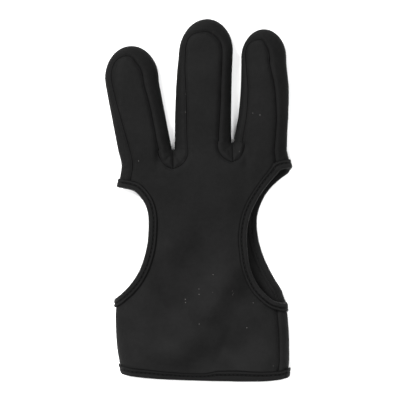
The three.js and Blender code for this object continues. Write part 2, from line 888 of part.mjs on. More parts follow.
// A face's own rounded side where it folds round the cuff: the pattern is laid out flat.
function patternOf(face, side) {
  const inward = side === 'left' ? 1 : -1;
  const own = faces[face];
  const other = face === 'front' ? 'back' : 'front';
  const spare = own.over(own.rounding) - own.rounding;
  const openingTop = bodyLength - (side === 'left' ? leftOpeningTop : rightOpeningTop);
  const height = side === 'left' ? leftOpeningHeight : rightOpeningHeight;
  const waistShare = 0.45;
  const fadeShare = 0.3;
  const waist = openingTop - height * waistShare;
  const weight = (y) => ease((waist - y) / (height * fadeShare));
  const laid = (plan, share) => (1 - share) * plan + share * (own.over(plan) - spare);
  const toPattern = (spot) => {
    const plan = Math.max(inward * (spot.x - sideX[side](spot.y)), 0);
    const share = weight(spot.y);
    if (spot.face !== face) {
      const beyond = -spare - faces[other].over(plan);
      return new THREE.Vector2(sideX[side](spot.y) + inward * beyond, spot.y);
    }
    const offset = plan >= own.rounding ? plan : laid(plan, share);
    return new THREE.Vector2(sideX[side](spot.y) + inward * offset, spot.y);
  };
  const toSpot = (x, y) => {
    const edge = sideX[side](y);
    const offset = inward * (x - edge);
    const share = weight(y);
    if (offset >= own.rounding || share === 0) return { x, y, face };
    if (offset < -share * spare) {
      return { x: edge + inward * faces[other].plan(-spare - offset), y, face: other };
    }
    const plan = cross(0, own.rounding, offset, (value) => laid(value, share));
    return { x: edge + inward * plan, y, face };
  };
  return { toPattern, toSpot };
}

// The ring of the cuff's mouth: places round it at even lengths, front first.
function ringSpot(turn, lift) {
  const front = turn < 0.5;
  const face = front ? 'front' : 'back';
  const across = front ? 4 * turn - 1 : 3 - 4 * turn;
  const level = (x) => hemLevel(x) + lift;
  let x = across * cuffWidth / 2;
  for (let i = 0; i < 6; i += 1) {
    const y = level(x);
    const left = sideX.left(y);
    const right = sideX.right(y);
    const half = (right - left) / 2;
    const over = (1 - Math.abs(across)) * faces[face].over(half);
    const plan = faces[face].plan(over);
    x = across < 0 ? left + plan : right - plan;
  }
  return { x, y: level(x), face };
}

// The turn of the ring at which it passes a plan distance from one side, on one face.
function ringTurn(side, face, plan, lift) {
  const inward = side === 'left' ? 1 : -1;
  const depth = (turn) => {
    const spot = ringSpot(turn, lift);
    return inward * (spot.x - sideX[side](spot.y));
  };
  if (face === 'front' && side === 'left') return cross(0, 0.25, plan, depth);
  if (face === 'front') return cross(0.25, 0.5, -plan, (turn) => -depth(turn));
  if (side === 'right') return cross(0.5, 0.75, plan, depth);
  return cross(0.75, 1, -plan, (turn) => -depth(turn));
}

// The places of an opening's cut edge between two places t, at the opening's stations.
function loopPlaces(opening, from, to, width) {
  const low = Math.min(from, to);
  const high = Math.max(from, to);
  const close = 0.003;
  const turns = [];
  for (const turn of opening.turns) {
    for (const t of [turn - 1, turn, turn + 1]) {
      if (t > low + close && t < high - close) turns.push(t);
    }
  }
  turns.sort((a, b) => (to > from ? a - b : b - a));
  return [from, ...turns, to].map((t) => {
    const place = opening.edge(t, width);
    return unrolled(opening.side, place.over, place.y);
  });
}

// The t at which an opening's cut edge passes a plan distance inside the outline, low down.
function bottomCross(opening, face, plan) {
  const want = face === 'front' ? faces.front.over(plan) : -faces.back.over(plan);
  const lowest = openingLowest(opening);
  const reach = 0.14;
  const after = opening.edge(lowest + reach, tapeStandOff).over;
  const before = opening.edge(lowest - reach, tapeStandOff).over;
  const sign = after > before ? 1 : -1;
  const height = (t) => opening.edge(t, tapeStandOff).over * sign;
  return cross(lowest - reach, lowest + reach, want * sign, height);
}

// Whether an opening's edge passes over the front first on its way round.
function frontFirst(opening) {
  const justPastTop = 0.02;
  return opening.edge(justPastTop, 0).over > 0;
}

// The t of the point where an opening's edge passes under the hand's side, low down.
function openingLowest(opening) {
  const sign = frontFirst(opening) ? -1 : 1;
  const from = 0.3;
  const to = 0.7;
  return cross(from, to, 0, (t) => sign * opening.edge(t, 0).over);
}

// Points of a straight side seam of the cuff, at a plan distance inside one side.
function cuffSeam(side, face, plan, fromY, toY) {
  const inward = side === 'left' ? 1 : -1;
  const steps = Math.max(Math.round(Math.abs(toY - fromY) / seamStep), 2);
  const spots = [];
  for (let i = 1; i < steps; i += 1) {
    const y = fromY + (toY - fromY) * i / steps;
    spots.push({ x: sideX[side](y) + inward * plan, y, face });
  }
  return spots;
}

// The closed edge of a panel as plan places, clockwise from its left opening's top.
function panelEdge(face) {
  const half = seamGap / 2;
  const wrap = face === 'front' ? 'left' : 'right';
  const spots = [];
  for (const strip of [strips.left, strips.middle, strips.right]) {
    for (let column = strip === strips.left ? 0 : 1; column <= stripColumns; column += 1) {
      const { length } = stripPlace(strip, column, face === 'front' ? 0 : stripRows);
      const at = strip.run.at(length);
      const plan = seamInset(strip, face, stripShare(strip, length)) + half;
      const place = at.point.clone().addScaledVector(at.normal, plan);
      spots.push({ x: place.x, y: place.y, face });
    }
  }
  const bySide = (side) => {
    const opening = openings[side];
    const strip = strips[side];
    const top = topEdge(opening, seamOver(strip, face, seamEnd(strip, face, half), half)).t;
    const seamFace = side === 'left' ? 'back' : 'front';
    const inset = side === 'left' ? cuffBackSeamInset : cuffFrontSeamInset;
    const gap = side === wrap ? -half : half;
    const low = bottomCross(opening, seamFace, inset + gap);
    const forward = (face === 'front') === frontFirst(opening);
    const places = loopPlaces(opening, top, forward ? low : low - 1, tapeStandOff);
    return { opening, places, seamFace, plan: inset + gap };
  };
  const right = bySide('right');
  spots.push(...right.places.slice(1));
  const lift = tapeStandOff;
  const turnRight = ringTurn('right', right.seamFace, right.plan, lift);
  const left = bySide('left');
  const turnLeft = ringTurn('left', left.seamFace, left.plan, lift);
  const lowRight = ringSpot(turnRight, lift).y;
  const lowLeft = ringSpot(turnLeft, lift).y;
  const highRight = right.places.at(-1).y;
  const highLeft = left.places.at(-1).y;
  spots.push(...cuffSeam('right', right.seamFace, right.plan, highRight, lowRight));
  spots.push(...ringPlaces(face, turnRight, turnLeft, lift));
  spots.push(...cuffSeam('left', left.seamFace, left.plan, lowLeft, highLeft));
  spots.push(...left.places.slice(1).reverse());
  return { spots, loops: { left, right } };
}

// Places along the cuff's mouth from the right seam to the left one, on a panel's face.
function ringPlaces(face, fromTurn, toTurn, lift) {
  const from = (face === 'front' ? fromTurn + 1 : fromTurn) * hemSides;
  const to = toTurn * hemSides;
  const spots = [ringSpot(fromTurn, lift)];
  const close = 0.25;
  const whole = [];
  for (let k = Math.ceil(Math.min(from, to)); k < Math.max(from, to); k += 1) {
    const nearEnds = Math.min(Math.abs(k - from), Math.abs(k - to));
    if (nearEnds > close) whole.push(k);
  }
  if (from > to) whole.reverse();
  for (const k of whole) spots.push(ringSpot((k / hemSides) % 1, lift));
  spots.push(ringSpot(toTurn, lift));
  return spots;
}

// Whether a point lies inside a closed outline.
function inside(polygon, x, y) {
  let found = false;
  for (let i = 0, j = polygon.length - 1; i < polygon.length; j = i, i += 1) {
    const a = polygon[i];
    const b = polygon[j];
    const spans = (a.y > y) !== (b.y > y);
    if (spans && x < (b.x - a.x) * (y - a.y) / (b.y - a.y) + a.x) found = !found;
  }
  return found;
}

// Joins points into triangles whose circles hold no other point.
function triangulate(points) {
  const far = 4 * wholeLength;
  const all = [...points, { x: -far, y: -far }, { x: far, y: -far }, { x: 0, y: far }];
  const circle = (a, b, c) => {
    const p = all[a];
    const q = all[b];
    const r = all[c];
    const d = 2 * (p.x * (q.y - r.y) + q.x * (r.y - p.y) + r.x * (p.y - q.y));
    const pp = p.x * p.x + p.y * p.y;
    const qq = q.x * q.x + q.y * q.y;
    const rr = r.x * r.x + r.y * r.y;
    const x = (pp * (q.y - r.y) + qq * (r.y - p.y) + rr * (p.y - q.y)) / d;
    const y = (pp * (r.x - q.x) + qq * (p.x - r.x) + rr * (q.x - p.x)) / d;
    return { a, b, c, x, y, square: (p.x - x) ** 2 + (p.y - y) ** 2 };
  };
  const first = points.length;
  let triangles = [circle(first, first + 1, first + 2)];
  points.forEach((point, index) => {
    const border = new Map();
    const kept = [];
    for (const triangle of triangles) {
      const square = (point.x - triangle.x) ** 2 + (point.y - triangle.y) ** 2;
      if (square >= triangle.square) {
        kept.push(triangle);
        continue;
      }
      const corners = [triangle.a, triangle.b, triangle.c];
      corners.forEach((from, i) => {
        const to = corners[(i + 1) % 3];
        const back = `${to},${from}`;
        if (border.has(back)) border.delete(back);
        else border.set(`${from},${to}`, [from, to]);
      });
    }
    for (const [from, to] of border.values()) kept.push(circle(from, to, index));
    triangles = kept;
  });
  return triangles.filter((t) => t.a < first && t.b < first && t.c < first);
}

// A panel's triangles in its flat pattern, with the surface under every point.
function panelSheet(face) {
  const wrap = face === 'front' ? 'left' : 'right';
  const pattern = patternOf(face, wrap);
  const { spots, loops } = panelEdge(face);
  const flat = spots.map((spot) => pattern.toPattern(spot));
  const points = flat.map((at, i) => ({ x: at.x, y: at.y, spot: spots[i] }));
  const closed = [...flat, flat[0]];
  const tryPoint = (at, spot, margin, apart) => {
    if (!inside(flat, at.x, at.y)) return;
    if (nearest(closed, at.x, at.y).distance < margin) return;
    if (points.some((p) => (p.x - at.x) ** 2 + (p.y - at.y) ** 2 < apart * apart)) return;
    points.push({ x: at.x, y: at.y, spot });
  };
  const rows = [tapeWidth / 2 - tapeStandOff, tapeWidth - tapeStandOff];
  const apart = pointSpacing * seamStep;
  const closer = 0.6 * apart;
  for (const loop of [loops.left, loops.right]) {
    for (const row of rows) {
      for (const turn of loop.opening.turns) {
        const place = loop.opening.edge(turn, tapeStandOff + row);
        const spot = unrolled(loop.opening.side, place.over, place.y);
        if (spot.face === face || loop.opening.side === wrap) {
          tryPoint(pattern.toPattern(spot), spot, tapeRowShare * row, closer);
        }
      }
    }
  }
  for (const row of rows) {
    for (let k = 0; k < hemSides; k += 1) {
      const spot = ringSpot(k / hemSides, tapeStandOff + row);
      const nearWrap = Math.abs(spot.x - sideX[wrap](spot.y)) < frontRounding;
      if (spot.face === face || nearWrap) {
        tryPoint(pattern.toPattern(spot), spot, tapeRowShare * row, closer);
      }
    }
  }
  for (const steps of seamRows) {
    const row = steps * seamStep;
    flat.forEach((at, i) => {
      const before = flat[(i + flat.length - 1) % flat.length];
      const after = flat[(i + 1) % flat.length];
      const normal = new THREE.Vector2(after.y - before.y, before.x - after.x).normalize();
      const place = { x: at.x + normal.x * row, y: at.y + normal.y * row };
      tryPoint(place, pattern.toSpot(place.x, place.y), seamRowShare * row, apart);
    });
  }
  const high = gridStep * Math.sqrt(3) / 2;
  const margin = seamRows.at(-1) * seamStep + gridMargin * gridStep;
  const columns = Math.ceil(handWidth / gridStep);
  for (let row = 0; row * high < wholeLength; row += 1) {
    for (let k = -columns; k < columns; k += 1) {
      const nudge = gridNudge * Math.sin(12.9 * row + 7.3 * k);
      const place = { x: (k + (row % 2) / 2 + nudge) * gridStep, y: (row + nudge) * high };
      tryPoint(place, pattern.toSpot(place.x, place.y), margin, apart);
    }
  }
  const triangles = triangulate(points).filter(({ a, b, c }) => {
    const x = (points[a].x + points[b].x + points[c].x) / 3;
    const y = (points[a].y + points[b].y + points[c].y) / 3;
    return inside(flat, x, y);
  });
  const sheet = { points: [], normals: [], faces: [] };
  for (const { spot } of points) {
    const found = surface(spot.x, spot.y, spot.face);
    sheet.points.push(found.point);
    sheet.normals.push(found.normal);
  }
  const up = face === 'front';
  for (const { a, b, c } of triangles) {
    const p = points[a];
    const q = points[b];
    const r = points[c];
    const turned = (q.x - p.x) * (r.y - p.y) - (q.y - p.y) * (r.x - p.x) > 0;
    sheet.faces.push(turned === up ? [a, b, c] : [a, c, b]);
  }
  return sheet;
}

// Closes a sheet into a solid of even thickness, below its outer surface.
function thicken(sheet, thickness) {
  const count = sheet.points.length;
  const positions = [];
  for (const point of sheet.points) positions.push(point.x, point.y, point.z);
  sheet.points.forEach((point, i) => {
    const inner = point.clone().addScaledVector(sheet.normals[i], -thickness);
    positions.push(inner.x, inner.y, inner.z);
  });
  const index = [];
  const edges = new Map();
  for (const [a, b, c] of sheet.faces) {
    index.push(a, b, c, a + count, c + count, b + count);
    for (const [from, to] of [[a, b], [b, c], [c, a]]) {
      if (edges.has(`${to},${from}`)) edges.delete(`${to},${from}`);
      else edges.set(`${from},${to}`, [from, to]);
    }
  }
  for (const [from, to] of edges.values()) {
    index.push(from, from + count, to + count, from, to + count, to);
  }
  const geometry = new THREE.BufferGeometry();
  geometry.setAttribute('position', new THREE.Float32BufferAttribute(positions, 3));
  geometry.setIndex(index);
  return geometry;
}

// A finger's side strip: a grid along its run and across it from seam to seam.
function stripSheet(strip) {
  const sheet = { points: [], normals: [], faces: [] };
  const across = stripRows + 1;
  for (let column = 0; column <= stripColumns; column += 1) {
    for (let row = 0; row <= stripRows; row += 1) {
      const { length, over } = stripPlace(strip, column, row);
      const found = surfaceInward(strip.run.at(length), over);
      sheet.points.push(keepApart(strip, column, found));
      sheet.normals.push(found.normal);
    }
  }
  for (let column = 0; column < stripColumns; column += 1) {
    for (let row = 0; row < stripRows; row += 1) {
      const a = column * across + row;
      sheet.faces.push([a, a + across + 1, a + 1], [a, a + across, a + across + 1]);
    }
  }
  return sheet;
}

// Draws the end of a strip back from the seam in the crotch by half the gap.
function keepApart(strip, column, found) {
  const { point, normal } = found;
  const half = seamGap / 2;
  if (strip.crotches.start && column < stripColumns / 4) {
    const seam = strip.run.points[0].x + half;
    if (column === 0) normal.setX(0).normalize();
    point.x = Math.max(point.x, seam);
  }
  if (strip.crotches.end && column > stripColumns * 3 / 4) {
    const seam = strip.run.points.at(-1).x - half;
    if (column === stripColumns) normal.setX(0).normalize();
    point.x = Math.min(point.x, seam);
  }
  return point;
}

// Folded tape over an edge. spotAt gives the surface at a turn and a width from the edge.
function foldedTape(spotAt, turns, flip) {
  const far = tapeWidth;
  const middle = tapeWidth / 2;
  const outer = tapeStandOff;
  const under = -clothThickness - seamGap;
  const section = [
    [far, outer], [middle, outer], [0, outer],
    [0, under - tapeThickness], [middle, under - tapeThickness], [far, under - tapeThickness],
    [far, under], [middle, under], [tapeThickness, under],
    [tapeThickness, seamGap], [middle, seamGap], [far, seamGap],
  ];
  const positions = [];
  const index = [];
  const round = section.length;
  for (let k = 0; k < turns.length; k += 1) {
    for (const [width, stand] of section) {
      const { point, normal } = spotAt(turns[k], width);
      const place = point.clone().addScaledVector(normal, stand);
      positions.push(place.x, place.y, place.z);
    }
    const next = (k + 1) % turns.length;
    for (let i = 0; i < round; i += 1) {
      const j = (i + 1) % round;
      const corners = [k * round + i, k * round + j, next * round + j, next * round + i];
      const [a, b, c, d] = flip ? [corners[0], corners[3], corners[2], corners[1]] : corners;
      index.push(a, b, c, a, c, d);
    }
  }
  const geometry = new THREE.BufferGeometry();
  geometry.setAttribute('position', new THREE.Float32BufferAttribute(positions, 3));
  geometry.setIndex(index);
  return geometry;
}

// The tape of one opening.
function openingTape(opening, flip) {
  const spotAt = (turn, width) => {
    const place = opening.edge(turn, width);
    const spot = unrolled(opening.side, place.over, place.y);
    return surface(spot.x, spot.y, spot.face);
  };
  return foldedTape(spotAt, opening.turns, flip);
}

// The folded hem of the cuff's mouth.
function hemTape() {
  const spotAt = (turn, width) => {
    const spot = ringSpot(turn, width);
    return surface(spot.x, spot.y, spot.face);
  };
  const turns = Array.from({ length: hemSides }, (_, k) => k / hemSides);
  return foldedTape(spotAt, turns, false);
}

// Names a solid and gives it its finish.
function piece(name, geometry, finish) {
  geometry.computeVertexNormals();
  const mesh = new THREE.Mesh(geometry, new THREE.MeshStandardMaterial(finish));
  mesh.name = name;
  return mesh;
}

const glove = new THREE.Group();
glove.name = 'archery_glove';
glove.add(piece('front_panel', thicken(panelSheet('front'), clothThickness), clothFinish));
glove.add(piece('back_panel', thicken(panelSheet('back'), clothThickness), clothFinish));
for (const [name, strip] of Object.entries(strips)) {
  glove.add(piece(`${name}_finger_gusset`, thicken(stripSheet(strip), clothThickness), sideFinish));
}
glove.add(piece('left_opening_binding', openingTape(openings.left, false), tapeFinish));
glove.add(piece('right_opening_binding', openingTape(openings.right, true), tapeFinish));
glove.add(piece('cuff_hem', hemTape(), tapeFinish));

// The frame's origin is under the middle of the glove, on the rest plane.
const extent = new THREE.Box3().setFromObject(glove);
for (const mesh of glove.children) {
  mesh.geometry.translate(
    -(extent.min.x + extent.max.x) / 2,
    -(extent.min.y + extent.max.y) / 2,
    0,
  );
}

export default glove;
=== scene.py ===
"""A three-fingered archery glove, lying flat and seen from straight above.

Lengths are worked out in millimetres in the glove's own plan and turned into metres when a
mesh is made. In that plan x = 0 is the middle of the middle finger's base, y = 0 the lowest
point of the cuff's mouth and z = 0 the floor.
"""
from __future__ import annotations

import logging
import math
from dataclasses import dataclass, field
from enum import Enum
from typing import Callable, Iterable, Sequence

import bpy
import numpy as np
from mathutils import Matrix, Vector
from mathutils.geometry import delaunay_2d_cdt

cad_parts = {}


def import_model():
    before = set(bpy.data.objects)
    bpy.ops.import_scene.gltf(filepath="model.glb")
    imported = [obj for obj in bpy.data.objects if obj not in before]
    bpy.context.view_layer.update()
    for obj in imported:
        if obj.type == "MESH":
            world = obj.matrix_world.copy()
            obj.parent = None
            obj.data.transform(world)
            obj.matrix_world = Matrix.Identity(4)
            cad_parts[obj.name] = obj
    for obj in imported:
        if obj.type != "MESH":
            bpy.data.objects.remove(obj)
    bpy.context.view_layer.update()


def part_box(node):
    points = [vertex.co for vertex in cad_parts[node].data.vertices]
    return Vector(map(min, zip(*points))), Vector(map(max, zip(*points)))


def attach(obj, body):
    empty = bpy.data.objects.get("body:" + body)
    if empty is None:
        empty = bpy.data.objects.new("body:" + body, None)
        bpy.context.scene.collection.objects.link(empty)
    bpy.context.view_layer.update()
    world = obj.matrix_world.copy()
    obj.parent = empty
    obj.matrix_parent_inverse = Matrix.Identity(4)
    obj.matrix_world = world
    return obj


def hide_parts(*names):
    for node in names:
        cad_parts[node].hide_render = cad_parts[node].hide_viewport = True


Array = np.ndarray
LOG = logging.getLogger("glove")
MM = 0.001
ROOT = "root"


class Face(Enum):
    """The two faces of the glove; the value is the sign of the face's height."""

    FRONT = 1
    BACK = -1


class Side(Enum):
    """The two sides of the hand; the value is the sign of the way inward along x."""

    LEFT = 1
    RIGHT = -1


@dataclass(frozen=True)
class GloveSizes:
    """Every named length of the glove, in millimetres."""

    cloth: float = 2.0
    tape: float = 0.8
    tape_width: float = 5.9
    seam_gap: float = 0.3
    cuff_height: float = 53.3
    palm_length: float = 96.2
    right_crotch_rise: float = 4.7
    cuff_width: float = 112.6
    hand_width: float = 111.6
    crotch_gap: float = 1.8
    left_length: float = 67.9
    left_width: float = 35.1
    left_lean: float = -8.8
    left_tip: float = 21.5
    middle_length: float = 85.4
    middle_width: float = 37.7
    middle_lean: float = 2.7
    middle_tip: float = 22.0
    right_length: float = 78.8
    right_width: float = 33.2
    right_lean: float = 2.2
    right_tip: float = 18.5
    outline_height: float = 6.6
    front_rise: float = 7.8
    front_rounding: float = 18.0
    back_rounding: float = 11.0
    edge_fullness: float = 2.2
    front_seam: float = 8.0
    back_seam: float = 7.0
    crotch_seam: float = 12.0
    crotch_seam_point: float = 1.2
    left_opening_top: float = 24.4
    left_opening_height: float = 71.8
    left_opening_depth: float = 20.3
    left_opening_under: float = 21.6
    right_opening_top: float = 12.0
    right_opening_height: float = 86.8
    right_opening_depth: float = 27.0
    right_opening_under: float = 20.8
    sag: float = 1.8
    sag_reach: float = 13.0
    cuff_front_seam: float = 6.4
    cuff_back_seam: float = 6.0
    fold_depth: float = 1.5
    fold_reach: float = 16.0
    settle_reach: float = 8.0
    outline_step: float = 0.6

    @property
    def body(self) -> float:
        """The length from the cuff's mouth to the knuckle line."""
        return self.cuff_height + self.palm_length

    @property
    def whole(self) -> float:
        """The length from the cuff's mouth to the middle fingertip."""
        return self.body + self.middle_length

    @property
    def stand_off(self) -> float:
        """How far the tape's outside stands off the cloth."""
        return self.seam_gap + self.tape


@dataclass(frozen=True)
class Unevenness:
    """How high the soft waves of three sizes stand on the two faces, in millimetres."""

    front_broad: float = 0.34
    front_mild: float = 0.13
    front_fine: float = 0.035
    back_level: float = 0.3
    back_broad: float = 0.22
    back_mild: float = 0.07


@dataclass(frozen=True)
class MeshDetail:
    """How fine the meshes are, in millimetres and counts."""

    cloth_step: float = 1.15
    border_step: float = 1.0
    border_rows: tuple[float, ...] = (0.3, 0.75, 1.35, 2.1)
    strip_columns: int = 230
    strip_rows: int = 40
    tape_step: float = 0.42
    stitch_pitch: float = 2.7


class Table:
    """Rows of named columns, read smoothly and without overshoot between the rows."""

    def __init__(self, names: Sequence[str], rows: Sequence[Sequence[float]]) -> None:
        """Keep the rows; the first name is the place that the others are read at."""
        columns = np.array(rows, float).T
        self.places = columns[0]
        self.columns = dict(zip(names[1:], columns[1:]))

    def read(self, name: str, at: Array) -> Array:
        """Read one column.

        Between two rows the value follows a cubic whose slopes at the rows are the
        harmonic means of the slopes on either side, or 0 at a turning point.

        Args:
            name: The column.
            at: The places to read it at.

        Returns:
            The column's value at each place.
        """
        place, value = self.places, self.columns[name]
        slope = np.diff(value) / np.diff(place)
        before, after = slope[:-1], slope[1:]
        total = np.where(before * after > 0, before + after, 1.0)
        inner = np.where(before * after > 0, 2 * before * after / total, 0.0)
        tangent = np.concatenate([slope[:1], inner, slope[-1:]])
        want = np.clip(at, place[0], place[-1])
        low = np.clip(np.searchsorted(place, want, side="left") - 1, 0, len(place) - 2)
        width = place[low + 1] - place[low]
        t = (want - place[low]) / width
        start = value[low] + t * t * (3 - 2 * t) * (value[low + 1] - value[low])
        bend = t * (1 - t) * width
        return start + bend * ((1 - t) * tangent[low] - t * tangent[low + 1])


CUFF_OUTLINE = (
    (-0.06, 0.86, 0.93), (0.0, 0.885, 0.962), (0.035, 0.93, 0.978), (0.09, 0.97, 0.996),
    (0.175, 1.0, 0.994), (0.28, 1.01, 0.976), (0.335, 1.0, 0.956), (0.37, 0.992, 0.954),
)
HAND_OUTLINE = ((0.6, 1.0, 0.99), (0.83, 0.99, 1.025), (0.895, 0.962, 1.036), (0.93, 0.95, 1.018))
LEFT_SECTIONS = Table(("up", "lean", "half"), (
    (0.0, 0.0, 0.5), (0.29, 0.43, 0.5), (0.52, 0.77, 0.5), (0.7, 0.98, 0.498), (1.0, 1.0, 0.498),
))
MIDDLE_SECTIONS = Table(("up", "lean", "half"), (
    (0.0, 0.0, 0.487), (0.22, 0.0, 0.485), (0.42, 0.12, 0.481), (0.6, 0.36, 0.474),
    (0.75, 0.68, 0.466), (1.0, 1.0, 0.464),
))
RIGHT_SECTIONS = Table(("up", "lean", "half"), (
    (0.0, -0.1, 0.528), (0.12, 0.2, 0.515), (0.3, 0.95, 0.488), (0.52, 1.32, 0.47),
    (0.75, 1.05, 0.44), (1.0, 1.1, 0.436),
))
LEFT_SEAM = Table(("at", "inset"), (
    (0.0, 0.85), (0.12, 0.92), (0.21, 0.76), (0.33, 0.55), (0.46, 0.46), (0.54, 0.78),
    (0.64, 1.26), (0.71, 1.24), (0.85, 1.02), (0.96, 1.03),
))
MIDDLE_SEAM = Table(("at", "inset"), (
    (0.03, 0.98), (0.18, 0.85), (0.32, 0.53), (0.4, 0.45), (0.49, 1.04), (0.56, 1.1),
    (0.65, 0.88), (0.72, 0.82), (0.85, 0.85), (0.97, 1.0),
))
RIGHT_SEAM = Table(("at", "inset"), (
    (0.03, 0.64), (0.19, 0.55), (0.27, 0.36), (0.35, 0.22), (0.42, 0.72), (0.5, 1.28),
    (0.59, 1.38), (0.7, 1.16), (0.86, 0.93), (1.0, 1.15),
))
LEFT_OPENING = (
    (0.0, 0.0, 0.0), (0.009, 0.24, 0.24), (0.032, 0.53, 0.53), (0.081, 0.72, 0.72),
    (0.149, 0.88, 0.88), (0.235, 0.98, 0.98), (0.367, 1.0, 1.0), (0.5, 0.97, 0.97),
    (0.62, 0.875, 0.875), (0.73, 0.74, 0.74), (0.837, 0.52, 0.52), (0.93, 0.23, 0.23),
    (1.0, 0.0, 0.0),
)
RIGHT_OPENING = (
    (0.0, 0.0, 0.0), (0.011, 0.26, 0.035), (0.034, 0.34, 0.11), (0.079, 0.47, 0.36),
    (0.146, 0.63, 0.64), (0.228, 0.79, 0.85), (0.356, 0.955, 1.0), (0.5, 1.0, 0.95),
    (0.62, 0.96, 0.8), (0.73, 0.885, 0.585), (0.835, 0.737, 0.32), (0.91, 0.56, 0.12),
    (0.985, 0.27, 0.03), (1.0, 0.0, 0.0),
)
RISE = Table(("up", "rise"), (
    (0.0, 1.36), (0.14, 1.24), (0.3, 1.0), (0.55, 0.96), (0.8, 1.0), (1.0, 0.94),
))
HEM_LINE = Table(("across", "drop"), (
    (-1.0, -0.12), (-0.93, -0.08), (-0.8, -0.055), (-0.4, -0.025), (0.0, -0.01), (0.6, 0.0),
    (0.88, -0.015), (1.0, -0.05),
))


HEM_WAVER = Table(("x", "more"), [
    (-60, 0.3), (-40, 0.1), (-24, -0.3), (-12, -0.9), (0, -1.0), (5, -0.2),
    (10, 0.9), (22, 1.1), (38, 0.5), (60, 0.2)])

@dataclass(frozen=True)
class Fold:
    """A soft dent (below 0) or bulge (above 0) of the front, in shares of the hand."""

    across: float
    up: float
    wide: float
    tall: float
    turn: float
    depth: float


FOLDS = (
    Fold(0.42, 0.1, 0.9, 0.7, 20, -1.0),
    Fold(-0.35, 0.07, 1.5, 0.5, 0, 0.5),
    Fold(0.7, 0.05, 0.7, 0.6, 0, 0.5),
    Fold(0.35, 0.27, 1.0, 0.8, 30, 0.7),
    Fold(-0.35, 0.24, 0.8, 1.1, -30, -0.4),
    Fold(0.0, 0.42, 1.2, 1.4, 0, 0.3),
    Fold(-0.5, 0.56, 0.7, 0.5, 20, -0.35),
    Fold(-0.52, 0.615, 0.16, 0.5, 0, -0.9),
    Fold(0.51, 0.625, 0.16, 0.5, 0, -0.9),
)


SOFT_FOLDS = (
    Fold(0.17, 0.235, 2.0, 0.6, 55, 2.4),
    Fold(0.3, 0.07, 0.8, 0.5, -35, -2.1),
    Fold(-0.42, 0.09, 1.3, 0.7, 8, 2.6),
    Fold(-0.06, 0.36, 1.4, 0.6, 62, -1.3),
    Fold(0.45, 0.215, 0.55, 1.3, 35, -0.5),
    Fold(-0.12, 0.12, 0.5, 1.5, -22, 0.4),
    Fold(-0.2, 0.47, 1.2, 0.55, -40, -0.3),
    Fold(0.3, 0.5, 0.9, 0.5, 30, 0.3),
)


@dataclass(frozen=True)
class Crease:
    """A fine pressed line in the cloth, from one plan place to another, in millimetres."""

    start: tuple[float, float]
    end: tuple[float, float]
    depth: float
    width: float

    def change(self, x: Array, y: Array) -> Array:
        """The height it takes away: deepest on its line, falling as a bell to both sides."""
        ax, ay = self.start
        dx, dy = self.end[0] - ax, self.end[1] - ay
        t = np.clip(((x - ax) * dx + (y - ay) * dy) / (dx * dx + dy * dy), 0, 1)
        apart = np.hypot(x - ax - t * dx, y - ay - t * dy)
        taper = 0.45 + 0.55 * np.sin(np.pi * np.clip(t, 0.02, 0.98))
        return -self.depth * taper * np.exp(-((apart / self.width) ** 2))


CREASES = (
    Crease((-21.0, 145.8), (-25.2, 142.2), 0.75, 1.0),
    Crease((-18.0, 145.4), (-13.6, 142.4), 0.75, 1.0),
    Crease((-19.6, 147.2), (-19.5, 144.6), 0.9, 1.3),
    Crease((16.4, 150.9), (12.9, 148.8), 0.6, 1.0),
    Crease((16.7, 150.8), (17.9, 143.4), 0.7, 1.1),
    Crease((19.4, 147.6), (23.4, 144.4), 0.55, 1.2),
    Crease((6.0, 7.0), (18.5, 36.0), 0.55, 3.2),
    Crease((40.5, 212.0), (45.5, 203.0), 0.3, 1.2),
)


class Waves:
    """Smooth uneven waves: values on a square lattice of random heights, joined smoothly."""

    def __init__(self, seed: int, size: float, count: int = 64) -> None:
        """Draw the lattice's heights, from -1 to 1, for waves of about the size given."""
        self.heights = np.random.default_rng(seed).uniform(-1, 1, (count, count))
        self.size, self.count = size, count

    def at(self, x: Array, y: Array) -> Array:
        """The height between four lattice points, eased along both ways."""
        u = (0.8 * np.asarray(x) + 0.6 * np.asarray(y)) / self.size
        v = (0.8 * np.asarray(y) - 0.6 * np.asarray(x)) / self.size
        i, j = np.floor(u).astype(int), np.floor(v).astype(int)
        s, t = u - i, v - j
        s, t = (w * w * w * (w * (6 * w - 15) + 10) for w in (s, t))
        n, h = self.count, self.heights
        low = h[i % n, j % n] * (1 - s) + h[(i + 1) % n, j % n] * s
        high = h[i % n, (j + 1) % n] * (1 - s) + h[(i + 1) % n, (j + 1) % n] * s
        return low * (1 - t) + high * t


def ease(share: Array) -> Array:
    """Step smoothly from 0 to 1 as the share goes from 0 to 1."""
    t = np.clip(share, 0, 1)
    return t * t * (3 - 2 * t)


def cross(low: Array, high: Array, value: Array, rising: Callable[[Array], Array]) -> Array:
    """Find where a rising function passes a value, by halving the span between two places."""
    a, b, value = np.broadcast_arrays(*(np.asarray(v, float) for v in (low, high, value)))
    a, b = a.copy(), b.copy()
    for _ in range(32):
        middle = (a + b) / 2
        below = rising(middle) < value
        a, b = np.where(below, middle, a), np.where(below, b, middle)
    return (a + b) / 2


@dataclass
class Near:
    """The nearest places of a line: distance, direction from it and length along it."""

    distance: Array
    dx: Array
    dy: Array
    along: Array


